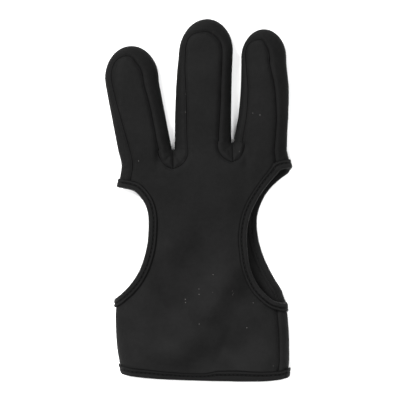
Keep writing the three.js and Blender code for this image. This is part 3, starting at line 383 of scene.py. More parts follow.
def nearest(starts: Array, ends: Array, x: Array, y: Array) -> Near:
    """Find the nearest place among many short straight pieces.

    Within 0.3 mm of a piece the direction is the one square to it, because the direction
    from so near a place says little.

    Args:
        starts: The pieces' first ends, as rows of x and y.
        ends: Their second ends.
        x: The places' x, in any shape.
        y: Their y.

    Returns:
        The distance, direction and length along the line for each place.
    """
    shape = np.shape(x)
    px, py = np.ravel(x), np.ravel(y)
    step = ends - starts
    size = np.maximum((step**2).sum(1), 1e-12)
    reach = np.concatenate([[0.0], np.cumsum(np.sqrt(size))])[:-1]
    found = np.empty((4, px.size))
    on_line = 0.3
    for first in range(0, px.size, 3000):
        part = slice(first, first + 3000)
        rx = px[part, None] - starts[None, :, 0]
        ry = py[part, None] - starts[None, :, 1]
        t = np.clip((rx * step[:, 0] + ry * step[:, 1]) / size, 0, 1)
        ex, ey = rx - t * step[:, 0], ry - t * step[:, 1]
        best = np.argmin(ex * ex + ey * ey, axis=1)
        row = np.arange(best.size)
        ex, ey, t = ex[row, best], ey[row, best], t[row, best]
        distance = np.hypot(ex, ey)
        long = np.sqrt(size[best])
        close = distance < on_line
        safe = np.where(close, 1.0, distance)
        found[0, part] = distance
        found[1, part] = np.where(close, step[best, 1] / long, ex / safe)
        found[2, part] = np.where(close, -step[best, 0] / long, ey / safe)
        found[3, part] = reach[best] + t * long
    return Near(*(row.reshape(shape) for row in found))


def nearest_on(line: Array, x: Array, y: Array) -> Near:
    """Find the nearest place of one joined line."""
    return nearest(line[:-1], line[1:], x, y)


def inside(polygon: Array, x: Array, y: Array) -> Array:
    """Tell which places lie inside a closed outline, by counting the sides they look across."""
    a, b = polygon, np.roll(polygon, 1, axis=0)
    found = np.zeros(x.size, bool)
    for first in range(0, x.size, 3000):
        part = slice(first, first + 3000)
        px, py = x[part, None], y[part, None]
        spans = (a[:, 1] > py) != (b[:, 1] > py)
        run = np.where(b[:, 1] == a[:, 1], 1.0, b[:, 1] - a[:, 1])
        at = (b[:, 0] - a[:, 0]) * (py - a[:, 1]) / run + a[:, 0]
        found[part] = ((spans & (px < at)).sum(1) % 2).astype(bool)
    return found


class EdgeMeasure:
    """Lengths over the rounded edge of a face against plan distances from the outline."""

    def __init__(self, rounding: float, rise: float, fullness: float) -> None:
        """Walk the rounded edge from the outline to its flat end in 240 steps."""
        turn = np.pi / 2 * np.arange(241) / 240
        self.rounding = rounding
        self.plans = rounding * (1 - np.cos(turn) ** (2 / fullness))
        self.plans[-1] = rounding
        heights = rise * np.sin(turn) ** (2 / fullness)
        steps = np.hypot(np.diff(self.plans), np.diff(heights))
        self.overs = np.concatenate([[0.0], np.cumsum(steps)])

    def over(self, plan: Array) -> Array:
        """The length over the cloth at a plan distance."""
        return np.interp(plan, self.plans, self.overs) + np.maximum(plan - self.rounding, 0)

    def plan(self, over: Array) -> Array:
        """The plan distance at a length over the cloth."""
        return np.interp(over, self.overs, self.plans) + np.maximum(over - self.overs[-1], 0)


@dataclass(frozen=True)
class Finger:
    """One finger stall's outline: a centre line that leans and a half width by height."""

    x: float
    base: float
    length: float
    width: float
    lean: float
    tip: float
    sections: Table

    @property
    def cap(self) -> float:
        """The height at which the rounded tip starts."""
        return self.length - self.tip

    def point(self, y: Array, sign: int) -> Array:
        """Places on one side at heights above the knuckle line, as rows of x and y.

        The half width is the table's, times the height of an ellipse over the tip.
        """
        y = np.asarray(y, float)
        half = self.width * self.sections.read("half", y / self.length)
        past = np.maximum(y - self.cap, 0) / self.tip
        half = half * np.sqrt(np.maximum(1 - past * past, 0))
        centre = self.x + self.lean * self.sections.read("lean", y / self.length)
        return np.stack([centre + sign * half, self.base + y], axis=-1)

    def side(self, sign: int, start: float, step: float) -> Array:
        """Places along one side from a start height up to the tip."""
        straight = math.ceil((self.cap - start) / step)
        turns = math.ceil(self.tip * math.pi / 2 / step)
        low = start + (self.cap - start) * np.arange(straight) / straight
        high = self.cap + self.tip * np.sin(np.pi / 2 * np.arange(turns + 1) / turns)
        return self.point(np.concatenate([low, high]), sign)


class Run:
    """A part of the outline with its lengths and inward normals."""

    def __init__(self, points: Array, level_start: bool, level_end: bool) -> None:
        """Keep the points; a level end gets a normal straight down, as in a crotch."""
        self.points = points
        self.lengths = np.concatenate([[0.0], np.cumsum(np.hypot(*np.diff(points, axis=0).T))])
        padded = np.concatenate([points[:1], points, points[-1:]])
        step = padded[2:] - padded[:-2]
        normals = np.stack([step[:, 1], -step[:, 0]], axis=1)
        self.normals = normals / np.linalg.norm(normals, axis=1, keepdims=True)
        if level_start:
            self.normals[0] = (0, -1)
        if level_end:
            self.normals[-1] = (0, -1)
        self.total = float(self.lengths[-1])

    def at(self, length: Array) -> tuple[Array, Array]:
        """The place and the inward normal at a length along the run."""
        parts = (*self.points.T, *self.normals.T)
        px, py, nx, ny = (np.interp(length, self.lengths, p) for p in parts)
        size = np.hypot(nx, ny)
        return np.stack([px, py], axis=-1), np.stack([nx / size, ny / size], axis=-1)


class HandOutline:
    """The glove's plan outline: the hand's two sides, three fingers and two crotches."""

    def __init__(self, sizes: GloveSizes) -> None:
        """Lay out the fingers, the side tables and the three runs."""
        s = self.sizes = sizes
        middle_half = s.middle_width * MIDDLE_SECTIONS.columns["half"]
        left_half = s.left_width * LEFT_SECTIONS.columns["half"][0]
        right_half = s.right_width * RIGHT_SECTIONS.columns["half"][1]
        self.middle = Finger(0.0, s.body, s.middle_length, s.middle_width, s.middle_lean,
                             s.middle_tip, MIDDLE_SECTIONS)
        self.left = Finger(-middle_half[0] - s.crotch_gap - left_half, s.body, s.left_length,
                           s.left_width, s.left_lean, s.left_tip, LEFT_SECTIONS)
        self.right = Finger(middle_half[1] + s.crotch_gap + right_half, s.body, s.right_length,
                            s.right_width, s.right_lean, s.right_tip, RIGHT_SECTIONS)
        rows = [(up * s.body, -a * s.cuff_width / 2, b * s.cuff_width / 2)
                for up, a, b in CUFF_OUTLINE]
        rows += [(up * s.body, -a * s.hand_width / 2, b * s.hand_width / 2)
                 for up, a, b in HAND_OUTLINE]
        rows.append((s.body, self.left.point(0, -1)[0], self.right.point(0, 1)[0]))
        self.sides = Table(("y", "LEFT", "RIGHT"), rows)
        self.runs = self._runs()
        parts = [self.runs["left"].points, self.runs["middle"].points[1:],
                 self.runs["right"].points[1:]]
        self.line = np.concatenate(parts)

    def side_x(self, side: Side, y: Array) -> Array:
        """The x of one side of the hand at a height."""
        return self.sides.read(side.name, y)

    def _hand_side(self, side: Side) -> Array:
        """Places on one side from below the cuff's mouth up to the knuckle line."""
        start = self.sides.places[0]
        steps = math.ceil((self.sizes.body - start) / self.sizes.outline_step)
        y = start + (self.sizes.body - start) * np.arange(steps) / steps
        return np.stack([self.side_x(side, y), y], axis=1)

    @staticmethod
    def _crotch_half(start: Array, bottom: Array) -> Array:
        """A quarter of an ellipse from a finger's side down to the crotch's lowest point."""
        turn = np.pi / 2 * np.arange(1, 13) / 12
        x = bottom[0] + (start[0] - bottom[0]) * np.cos(turn)
        y = start[1] + (bottom[1] - start[1]) * np.sin(turn)
        return np.stack([x, y], axis=1)

    def _runs(self) -> dict[str, Run]:
        """The outline in three runs, one a finger, split at the crotches' lowest points."""
        s = self.sizes
        half, step = s.crotch_gap / 2, s.outline_step
        left_of_middle = self.middle.side(-1, half, step)
        right_of_middle = self.middle.side(1, s.right_crotch_rise + half, step)
        right_of_left = self.left.side(1, half, step)
        left_of_right = self.right.side(-1, s.right_crotch_rise + half, step)

        def bottom(a: Array, b: Array) -> Array:
            """The lowest point between two fingers' sides."""
            return np.array([(a[0] + b[0]) / 2, a[1] - half])

        first = bottom(right_of_left[0], left_of_middle[0])
        second = bottom(right_of_middle[0], left_of_right[0])
        left = [self._hand_side(Side.LEFT), self.left.side(-1, 0, step), right_of_left[-2::-1],
                self._crotch_half(right_of_left[0], first)]
        middle = [self._crotch_half(left_of_middle[0], first)[::-1], left_of_middle,
                  right_of_middle[-2::-1], self._crotch_half(right_of_middle[0], second)]
        right = [self._crotch_half(left_of_right[0], second)[::-1], left_of_right,
                 self.right.side(1, 0, step)[-2::-1], self._hand_side(Side.RIGHT)[::-1]]
        return {
            "left": Run(np.concatenate(left), False, True),
            "middle": Run(np.concatenate(middle), True, True),
            "right": Run(np.concatenate(right), True, False),
        }


@dataclass
class Spots:
    """Plan places on the cloth, with the face that each lies on (1 front, -1 underside)."""

    x: Array
    y: Array
    face: Array

    @staticmethod
    def join(parts: Iterable["Spots"]) -> "Spots":
        """Several sets of places as one."""
        parts = list(parts)
        return Spots(*(np.concatenate([np.atleast_1d(getattr(p, name)) for p in parts])
                       for name in ("x", "y", "face")))

    def take(self, index: Array | slice) -> "Spots":
        """Some of the places, in the order of the index."""
        return Spots(self.x[index], self.y[index], self.face[index])


class Opening:
    """A half-moon opening at one side: a closed curve over both faces, unrolled."""

    def __init__(self, side: Side, top: float, height: float, depth: float, under: float,
                 rows: Sequence[Sequence[float]], faces: dict[Face, EdgeMeasure]) -> None:
        """Join the table's rows by a closed centripetal spline, walked at even lengths."""
        self.side, self.top, self.height = side, top, height
        down, front, back = np.array(rows, float).T
        over = faces[Face.FRONT].over(front * depth)
        below = -faces[Face.BACK].over(back[1:-1][::-1] * under)
        y = top - down * height
        control = np.stack([np.concatenate([over, below]),
                            np.concatenate([y, y[1:-1][::-1]])], axis=1)
        self.points = self._spline(control)
        steps = np.hypot(*np.diff(self.points, axis=0).T)
        self.reach = np.concatenate([[0.0], np.cumsum(steps)])
        self.total = float(self.reach[-1])
        self.turned = 1.0 if self._at(np.zeros(1))[1][0, 1] > 0 else -1.0

    @staticmethod
    def _spline(control: Array, steps: int = 160) -> Array:
        """Places on a closed centripetal spline, many between each two control points."""
        p0, p1, p2, p3 = (np.roll(control, shift, axis=0) for shift in (1, 0, -1, -2))
        d0, d1, d2 = (np.sqrt(np.hypot(*(b - a).T))[:, None]
                      for a, b in ((p0, p1), (p1, p2), (p2, p3)))
        m1 = ((p1 - p0) / d0 - (p2 - p0) / (d0 + d1) + (p2 - p1) / d1) * d1
        m2 = ((p2 - p1) / d1 - (p3 - p1) / (d1 + d2) + (p3 - p2) / d2) * d1
        t = (np.arange(steps) / steps)[None, :, None]
        p1, p2, m1, m2 = (v[:, None, :] for v in (p1, p2, m1, m2))
        curve = p1 + m1 * t + (3 * p2 - 3 * p1 - 2 * m1 - m2) * t**2
        curve = curve + (2 * p1 - 2 * p2 + m1 + m2) * t**3
        flat = curve.reshape(-1, 2)
        return np.concatenate([flat, flat[:1]])

    def _at(self, t: Array) -> tuple[Array, Array]:
        """The places at shares of the curve's length and the directions square to it."""
        length = np.mod(t, 1) * self.total
        small = self.total / 9000

        def place(at: Array) -> Array:
            """The curve's place at a length."""
            at = np.mod(at, self.total)
            return np.stack([np.interp(at, self.reach, c) for c in self.points.T], axis=-1)

        step = place(length + small) - place(length - small)
        step = step / np.linalg.norm(step, axis=-1, keepdims=True)
        return place(length), np.stack([step[..., 1], -step[..., 0]], axis=-1)

    def edge(self, t: Array, width: Array) -> tuple[Array, Array]:
        """The unrolled length and height at a share of the edge and a width outside it."""
        place, out = self._at(np.asarray(t, float))
        moved = place + self.turned * np.asarray(width)[..., None] * out
        return moved[..., 0], moved[..., 1]


class GloveBody:
    """The cloth's outer surface over the plan, with its edges, openings and folds."""

    def __init__(self, sizes: GloveSizes) -> None:
        """Set up the outline, the edge measures, the openings and the soft waves."""
        s = self.sizes = sizes
        self.outline = HandOutline(s)
        self.faces = {
            Face.FRONT: EdgeMeasure(s.front_rounding, s.front_rise, s.edge_fullness),
            Face.BACK: EdgeMeasure(s.back_rounding, s.outline_height, s.edge_fullness),
        }
        self.openings = {
            Side.LEFT: Opening(Side.LEFT, s.body - s.left_opening_top, s.left_opening_height,
                               s.left_opening_depth, s.left_opening_under, LEFT_OPENING,
                               self.faces),
            Side.RIGHT: Opening(Side.RIGHT, s.body - s.right_opening_top,
                                s.right_opening_height, s.right_opening_depth,
                                s.right_opening_under, RIGHT_OPENING, self.faces),
        }
        self.lines = {face: [self._opening_line(o, face) for o in self.openings.values()]
                      for face in Face}
        self.broad, self.mild, self.fine = Waves(11, 17.0), Waves(23, 7.5), Waves(37, 3.1)
        self.unevenness = Unevenness()

    def unrolled(self, side: Side, over: Array, y: Array) -> Spots:
        """The plan place of a signed length over the cloth from one side of the hand."""
        over, y = np.broadcast_arrays(np.asarray(over, float), np.asarray(y, float))
        face = np.where(over >= 0, 1, -1)
        size = np.abs(over)
        front, back = self.faces[Face.FRONT].plan(size), self.faces[Face.BACK].plan(size)
        plan = np.where(face > 0, front, back)
        return Spots(self.outline.side_x(side, y) + side.value * plan, y, face)

    def _opening_line(self, opening: Opening, face: Face) -> Array:
        """The plan line of an opening's edge on one face."""
        over, y = opening.edge(np.arange(161) / 160, np.zeros(161))
        spots = self.unrolled(opening.side, over, y)
        keep = spots.face == face.value
        return np.stack([spots.x[keep], spots.y[keep]], axis=1)

    def hem_level(self, x: Array) -> Array:
        """The height of the cuff's lower edge at a place across."""
        share = np.asarray(x) / (self.sizes.cuff_width / 2)
        return -self.sizes.cuff_height * HEM_LINE.read("drop", share)

    def _front_swell(self, x: Array, y: Array, to_opening: Sequence[Near]) -> Array:
        """The front's height above the outline, far inside it.

        It is the rise, plus bell-shaped dents and bulges, less the sag beside the openings,
        plus soft waves of three sizes and the fine creases.
        """
        s = self.sizes
        height = s.front_rise * RISE.read("rise", y / s.whole)
        for fold in FOLDS + SOFT_FOLDS:
            dx, dy = x - fold.across * s.hand_width / 2, y - fold.up * s.whole
            turn = math.radians(fold.turn)
            along = (dx * math.cos(turn) + dy * math.sin(turn)) / (fold.wide * s.fold_reach)
            apart = (dy * math.cos(turn) - dx * math.sin(turn)) / (fold.tall * s.fold_reach)
            height = height + fold.depth * s.fold_depth * np.exp(-along**2 - apart**2)
        for near in to_opening:
            height = height - s.sag * np.exp(-((near.distance / s.sag_reach) ** 2))
        for crease in CREASES:
            height = height + crease.change(x, y)
        u = self.unevenness
        waves = u.front_broad * self.broad.at(x, y) + u.front_mild * self.mild.at(x + 40, y)
        return height + waves + u.front_fine * self.fine.at(x, y + 60)

    def _back_swell(self, x: Array, y: Array, to_opening: Sequence[Near]) -> Array:
        """The depth of the underside below the outline, less where tape holds it up."""
        s = self.sizes
        near = [y - self.hem_level(x), *(n.distance for n in to_opening)]
        closest = np.minimum.reduce(near) - s.tape_width - s.stand_off
        lift = s.stand_off * (1 - ease(closest / s.settle_reach))
        u = self.unevenness
        waves = u.back_level + u.back_broad * self.broad.at(x + 90, y)
        waves = waves + u.back_mild * self.mild.at(x, y + 30)
        return s.outline_height - lift - np.maximum(waves, 0) * ease(closest / s.settle_reach)

    def swell(self, spots: Spots, to_opening: dict[Face, Sequence[Near]]) -> Array:
        """The height above (front) or depth below (underside) the outline."""
        front = self._front_swell(spots.x, spots.y, to_opening[Face.FRONT])
        back = self._back_swell(spots.x, spots.y, to_opening[Face.BACK])
        return np.where(spots.face > 0, front, back)

    def _to_openings(self, x: Array, y: Array) -> dict[Face, list[Near]]:
        """The nearest places of both openings on both faces."""
        return {face: [nearest_on(line, x, y) for line in self.lines[face]] for face in Face}

    def surface(self, spots: Spots) -> tuple[Array, Array]:
        """The outer surface over plan places.

        The height is the swell times (1 - (1 - d) ^ p) ^ (1 / p), where d is the share of
        the rounding distance from the outline and p the edge's fullness; the normal comes
        from the slopes of both.

        Args:
            spots: The plan places and their faces.

        Returns:
            The points and the outward unit normals, as rows of x, y and z.
        """
        s, x, y = self.sizes, spots.x, spots.y
        p = s.edge_fullness
        near = nearest_on(self.outline.line, x, y)
        rounding = np.where(spots.face > 0, s.front_rounding, s.back_rounding)
        share = np.clip(near.distance / rounding, 1e-9, 1)
        left = 1 - share
        curve = (1 - left**p) ** (1 / p)
        bend = left ** (p - 1) * (1 - left**p) ** (1 / p - 1)
        step = 0.4

        def at(dx: float, dy: float) -> Array:
            """The swell a small step away."""
            moved = Spots(x + dx, y + dy, spots.face)
            return self.swell(moved, self._to_openings(moved.x, moved.y))

        full = at(0, 0)
        slope_x = (at(step, 0) - at(-step, 0)) / (2 * step)
        slope_y = (at(0, step) - at(0, -step)) / (2 * step)
        steep = full * bend / rounding
        normal = np.stack([-(near.dx * steep + curve * slope_x),
                           -(near.dy * steep + curve * slope_y),
                           spots.face.astype(float)], axis=-1)
        normal = normal / np.linalg.norm(normal, axis=-1, keepdims=True)
        point = np.stack([x, y, s.outline_height + spots.face * full * curve], axis=-1)
        return point, normal

    def ring(self, turn: Array, lift: Array) -> Spots:
        """Places round the cuff's mouth at even lengths, front first, a lift above its edge."""
        turn, lift = np.broadcast_arrays(np.asarray(turn, float), np.asarray(lift, float))
        turn = np.mod(turn, 1)
        front = turn < 0.5
        across = np.where(front, 4 * turn - 1, 3 - 4 * turn)
        x = across * self.sizes.cuff_width / 2
        for _ in range(6):
            y = self.hem_level(x) + lift
            left = self.outline.side_x(Side.LEFT, y)
            right = self.outline.side_x(Side.RIGHT, y)
            half, share = (right - left) / 2, 1 - np.abs(across)
            plans = [m.plan(share * m.over(half)) for m in self.faces.values()]
            plan = np.where(front, plans[0], plans[1])
            x = np.where(across < 0, left + plan, right - plan)
        return Spots(x, self.hem_level(x) + lift, np.where(front, 1, -1))

    def ring_turn(self, side: Side, face: Face, plan: float, lift: float) -> float:
        """The turn at which the ring passes a plan distance from one side, on one face."""

        def depth(turn: Array) -> Array:
            """The plan distance from the side."""
            spot = self.ring(turn, np.full(np.shape(turn), lift))
            return side.value * (spot.x - self.outline.side_x(side, spot.y))

        if face is Face.FRONT and side is Side.LEFT:
            return float(cross(0, 0.25, plan, depth))
        if face is Face.FRONT:
            return float(cross(0.25, 0.5, -plan, lambda turn: -depth(turn)))
        if side is Side.RIGHT:
            return float(cross(0.5, 0.75, plan, depth))
        return float(cross(0.75, 1, -plan, lambda turn: -depth(turn)))


class Strip:
    """A finger's side strip: its run of the outline, its seams and its ends."""

    def __init__(self, body: GloveBody, name: str, seam: Table, columns: int) -> None:
        """Find the strip's ends and its even stations along the front seam."""
        self.body, self.name, self.seam, self.columns = body, name, seam, columns
        self.run = body.outline.runs[name]
        self.opening = {"left": body.openings[Side.LEFT],
                        "right": body.openings[Side.RIGHT]}.get(name)
        self.start, self.end = 0.0, self.run.total
        self.crotch_start, self.crotch_end = name != "left", name != "right"
        if name == "left":
            self.start = float(self.opening_end(0.0))
        if name == "right":
            self.end = float(self.opening_end(0.0))
        self.stations = self._stations()

    def share(self, length: Array) -> Array:
        """The share of the strip's length at a length along its run."""
        return np.clip((length - self.start) / (self.end - self.start), 0, 1)

    def inset(self, face: Face, share: Array) -> Array:
        """A seam's plan distance inside the outline, drawn in where it turns at a crotch."""
        s, near_crotch = self.body.sizes, 0.0095
        start = 1 - np.clip(share / near_crotch, 0, 1) if self.crotch_start else 0 * share
        end = np.clip((share - 1) / near_crotch + 1, 0, 1) if self.crotch_end else 0 * share
        pull = np.maximum(start, end) ** s.crotch_seam_point
        side = s.back_seam if face is Face.BACK else s.front_seam * self.seam.read("inset", share)
        return side + (s.crotch_seam - side) * pull

    def top_edge(self, over: Array) -> tuple[Array, Array]:
        """Where the opening's cut edge passes an unrolled length near its top."""
        reach, off = 0.22, self.body.sizes.stand_off
        edge = self.opening.edge
        sign = 1.0 if edge(reach, off)[0] > edge(-reach, off)[0] else -1.0
        t = cross(-reach, reach, np.asarray(over) * sign, lambda at: edge(at, off)[0] * sign)
        return t, edge(t, off)[1]

    def opening_end(self, over: Array) -> Array:
        """The length along the run at which it passes the top edge of its opening."""
        s = self.body.sizes
        over = np.asarray(over, float)
        level = self.top_edge(over)[1]
        size = np.abs(over)
        plan = np.where(over >= 0, self.body.faces[Face.FRONT].plan(size),
                        self.body.faces[Face.BACK].plan(size))

        def height(length: Array) -> Array:
            """The height of the place inward from the run."""
            point, normal = self.run.at(length)
            return point[..., 1] + normal[..., 1] * plan

        if self.name == "left":
            return cross(s.body / 2, s.body + s.cuff_height / 2, level, height)
        far = self.run.total
        return cross(far - s.body - s.cuff_height / 2, far - s.body / 2, -level,
                     lambda length: -height(length))

    def seam_over(self, face: Face, length: Array, gap: float) -> Array:
        """The signed unrolled length of a seam at a length along the run."""
        plan = self.inset(face, self.share(length)) + gap
        return face.value * self.body.faces[face].over(plan)

    def seam_end(self, face: Face, gap: float) -> float:
        """Where a seam meets the opening's edge, as a length along the run."""
        length = np.array(self.start if self.name == "left" else self.end)
        for _ in range(4):
            length = self.opening_end(self.seam_over(face, length, gap))
        return float(length)

    def _stations(self) -> Array:
        """Lengths along the run, even in a mix of the seam's and the outline's lengths."""
        gap, seam_share = -self.body.sizes.seam_gap / 2, 0.75
        start = self.seam_end(Face.FRONT, gap) if self.name == "left" else self.start
        end = self.seam_end(Face.FRONT, gap) if self.name == "right" else self.end
        length = np.linspace(start, end, 2401)
        point, normal = self.run.at(length)
        seam = point + normal * self.inset(Face.FRONT, self.share(length))[:, None]
        walked = seam_share * np.hypot(*np.diff(seam, axis=0).T)
        walked = walked + (1 - seam_share) * np.hypot(*np.diff(point, axis=0).T)
        total = np.concatenate([[0.0], np.cumsum(walked)])
        return np.interp(np.linspace(0, total[-1], self.columns + 1), total, length)

    def place(self, column: Array, share: Array) -> tuple[Array, Array]:
        """The length along the run and the unrolled length of a place of the strip.

        Args:
            column: The station's number, whole or not.
            share: The share of the way from the front seam to the underside's.

        Returns:
            The length along the run and the signed unrolled length from the outline.
        """
        half = self.body.sizes.seam_gap / 2
        column, share = np.broadcast_arrays(np.asarray(column, float), np.asarray(share, float))
        station = np.interp(column, np.arange(self.columns + 1), self.stations)
        part = column / self.columns
        length, over = station, np.zeros(station.shape)
        for _ in range(4):
            top = self.seam_over(Face.FRONT, length, -half)
            low = self.seam_over(Face.BACK, length, -half)
            over = top + (low - top) * share
            length = station
            if self.name == "left":
                length = station + (self.opening_end(over) - self.stations[0]) * (1 - part) ** 6
            if self.name == "right":
                length = station + (self.opening_end(over) - self.stations[-1]) * part**6
        return length, over

    def surface(self, length: Array, over: Array) -> tuple[Array, Array]:
        """The outer surface inward from the run, exact in direction at the outline."""
        face = np.where(over >= 0, 1, -1)
        size = np.abs(over)
        plan = np.where(over >= 0, self.body.faces[Face.FRONT].plan(size),
                        self.body.faces[Face.BACK].plan(size))
        point, inward = self.run.at(length)
        x = point[..., 0] + inward[..., 0] * plan
        y = point[..., 1] + inward[..., 1] * plan
        found, normal = self.body.surface(Spots(x, y, face))
        level = np.stack([-inward[..., 0], -inward[..., 1], 0 * plan], axis=-1)
        normal = np.where((plan < 0.05)[..., None], level, normal)
        return found, normal


class Pattern:
    """One panel's flat pattern, which unrolls the cloth that wraps round the cuff's side."""

    def __init__(self, body: GloveBody, face: Face, side: Side) -> None:
        """Keep the panel's face and the side of the cuff that it wraps round."""
        self.body, self.face, self.side = body, face, side
        self.own = body.faces[face]
        self.other = body.faces[Face.BACK if face is Face.FRONT else Face.FRONT]
        self.spare = float(self.own.overs[-1] - self.own.rounding)
        opening = body.openings[side]
        self.waist = opening.top - opening.height * 0.45
        self.fade = opening.height * 0.3

    def _weight(self, y: Array) -> Array:
        """The share to which a height is unrolled: 0 above the opening's waist, 1 below."""
        return ease((self.waist - y) / self.fade)

    def _laid(self, plan: Array, share: Array) -> Array:
        """The pattern's distance for a plan distance from the side."""
        return (1 - share) * plan + share * (self.own.over(plan) - self.spare)

    def to_pattern(self, spots: Spots) -> Array:
        """The flat places of plan places, as rows of x and y."""
        edge, inward = self.body.outline.side_x(self.side, spots.y), self.side.value
        plan = np.maximum(inward * (spots.x - edge), 0)
        laid = np.where(plan >= self.own.rounding, plan, self._laid(plan, self._weight(spots.y)))
        beyond = -self.spare - self.other.over(plan)
        offset = np.where(spots.face == self.face.value, laid, beyond)
        return np.stack([edge + inward * offset, spots.y], axis=1)

    def to_spots(self, flat: Array) -> Spots:
        """The plan places of flat places."""
        x, y = flat.T
        edge, inward = self.body.outline.side_x(self.side, y), self.side.value
        offset, share = inward * (x - edge), self._weight(y)
        plan = cross(np.zeros(x.size), np.full(x.size, self.own.rounding),
                     np.maximum(offset, -share * self.spare),
                     lambda value: self._laid(value, share))
        plan = np.where((offset >= self.own.rounding) | (share == 0), offset, plan)
        across = offset < -share * self.spare
        over = self.other.plan(np.maximum(-self.spare - offset, 0))
        plan = np.where(across, over, plan)
        face = np.where(across, -self.face.value, self.face.value)
        return Spots(edge + inward * plan, y, face)


@dataclass
class Shell:
    """A sheet of cloth before it is closed: points, normals, faces and flat places."""

    points: Array
    normals: Array
    triangles: Array
    flat: Array

    def closed(self, thickness: float) -> tuple[Array, list[Array], Array]:
        """Give the sheet a thickness, with a rim round its free edges.

        Args:
            thickness: The cloth's thickness in millimetres.

        Returns:
            The points, the faces as three sets (outer, inner and rim) and the flat places
            of the points.
        """
        count = len(self.points)
        points = np.concatenate([self.points, self.points - thickness * self.normals])
        outer = self.triangles
        inner = outer[:, ::-1] + count
        sides = np.concatenate([outer[:, [0, 1]], outer[:, [1, 2]], outer[:, [2, 0]]])
        codes = sides[:, 0] * count + sides[:, 1]
        back = sides[:, 1] * count + sides[:, 0]
        free = sides[~np.isin(codes, back)]
        a, b = free.T
        rim = np.concatenate([np.stack([a, a + count, b + count], 1),
                              np.stack([a, b + count, b], 1)])
        return points, [outer, inner, rim], np.concatenate([self.flat, self.flat])


@dataclass
class Placer:
    """Turns millimetres in the glove's plan into metres in the shared frame."""

    x: float = 0.0
    y: float = 0.0

    @classmethod
    def from_frame(cls, body: GloveBody) -> "Placer":
        """Line the plan up with the frame by the left finger's side and the middle tip."""
        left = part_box("left_finger_gusset")[0].x / MM
        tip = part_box("middle_finger_gusset")[1].y / MM
        return cls(left - float(body.outline.line[:, 0].min()), tip - body.sizes.whole)

    def metres(self, points: Array) -> Array:
        """Move and scale rows of x, y and z."""
        return (points + np.array([self.x, self.y, 0.0])) * MM


def make_mesh(name: str, points: Array, faces: Sequence[Array], uv: Array,
              material: bpy.types.Material, sharp: Sequence[bool]) -> bpy.types.Object:
    """Make an object from whole arrays.

    Args:
        name: The object's name.
        points: The vertices in metres.
        faces: Sets of triangles or quads as rows of vertex numbers.
        uv: The flat place of each vertex.
        material: The finish.
        sharp: For each set of faces, whether it is shaded flat.

    Returns:
        The object, linked to the scene.
    """
    mesh = bpy.data.meshes.new(name)
    loops = np.concatenate([f.ravel() for f in faces])
    totals = np.concatenate([np.full(len(f), f.shape[1]) for f in faces])
    smooth = np.concatenate([np.full(len(f), not flat) for f, flat in zip(faces, sharp)])
    mesh.vertices.add(len(points))
    mesh.vertices.foreach_set("co", points.astype(np.float32).ravel())
    mesh.loops.add(len(loops))
    mesh.loops.foreach_set("vertex_index", loops.astype(np.int32))
    mesh.polygons.add(len(totals))
    starts = np.concatenate([[0], np.cumsum(totals)[:-1]])
    mesh.polygons.foreach_set("loop_start", starts.astype(np.int32))
    mesh.update(calc_edges=True)
    mesh.polygons.foreach_set("use_smooth", smooth)
    layer = mesh.uv_layers.new(name="flat")
    layer.data.foreach_set("uv", uv[loops].astype(np.float32).ravel())
    mesh.materials.append(material)
    mesh.validate()
    mesh.update()
    obj = bpy.data.objects.new(name, mesh)
    bpy.context.scene.collection.objects.link(obj)
    return obj


def report(obj: bpy.types.Object) -> None:
    """Log a piece's name and its size in vertices and faces."""
    LOG.info("%s: %d vertices, %d faces", obj.name, len(obj.data.vertices),
             len(obj.data.polygons))


@dataclass(frozen=True)
class SeamRelief:
    """How cloth turns down into a seam, swells beside it and puckers along it."""

    roll: float = 0.75
    roll_reach: float = 1.25
    swelling: float = 0.1
    swelling_at: float = 3.2
    swelling_reach: float = 1.4
    pucker: float = 0.1
    pucker_length: float = 5.6
    pucker_reach: float = 3.4
    pucker_start: float = 0.9

    def height(self, apart: Array, along: Array, waves: Waves) -> Array:
        """The change along the normal at a distance from a seam and a length along it.

        It is a bell-shaped roll down, a bell-shaped swelling beside it, and a wave along
        the seam whose length drifts and which fades over a few millimetres.
        """
        roll = -self.roll * np.exp(-((apart / self.roll_reach) ** 2))
        beside = self.swelling * np.exp(-(((apart - self.swelling_at) / self.swelling_reach) ** 2))
        drift = 2.2 * waves.at(along * 0.35, 0 * along + 5)
        wave = np.sin(2 * np.pi * along / self.pucker_length + drift)
        strength = 0.55 + 0.45 * waves.at(along * 0.5, 0 * along + 19)
        fade = np.exp(-((apart / self.pucker_reach) ** 2))
        fade = fade * (1 - np.exp(-((apart / self.pucker_start) ** 2)))
        return roll + beside + self.pucker * strength * wave * fade


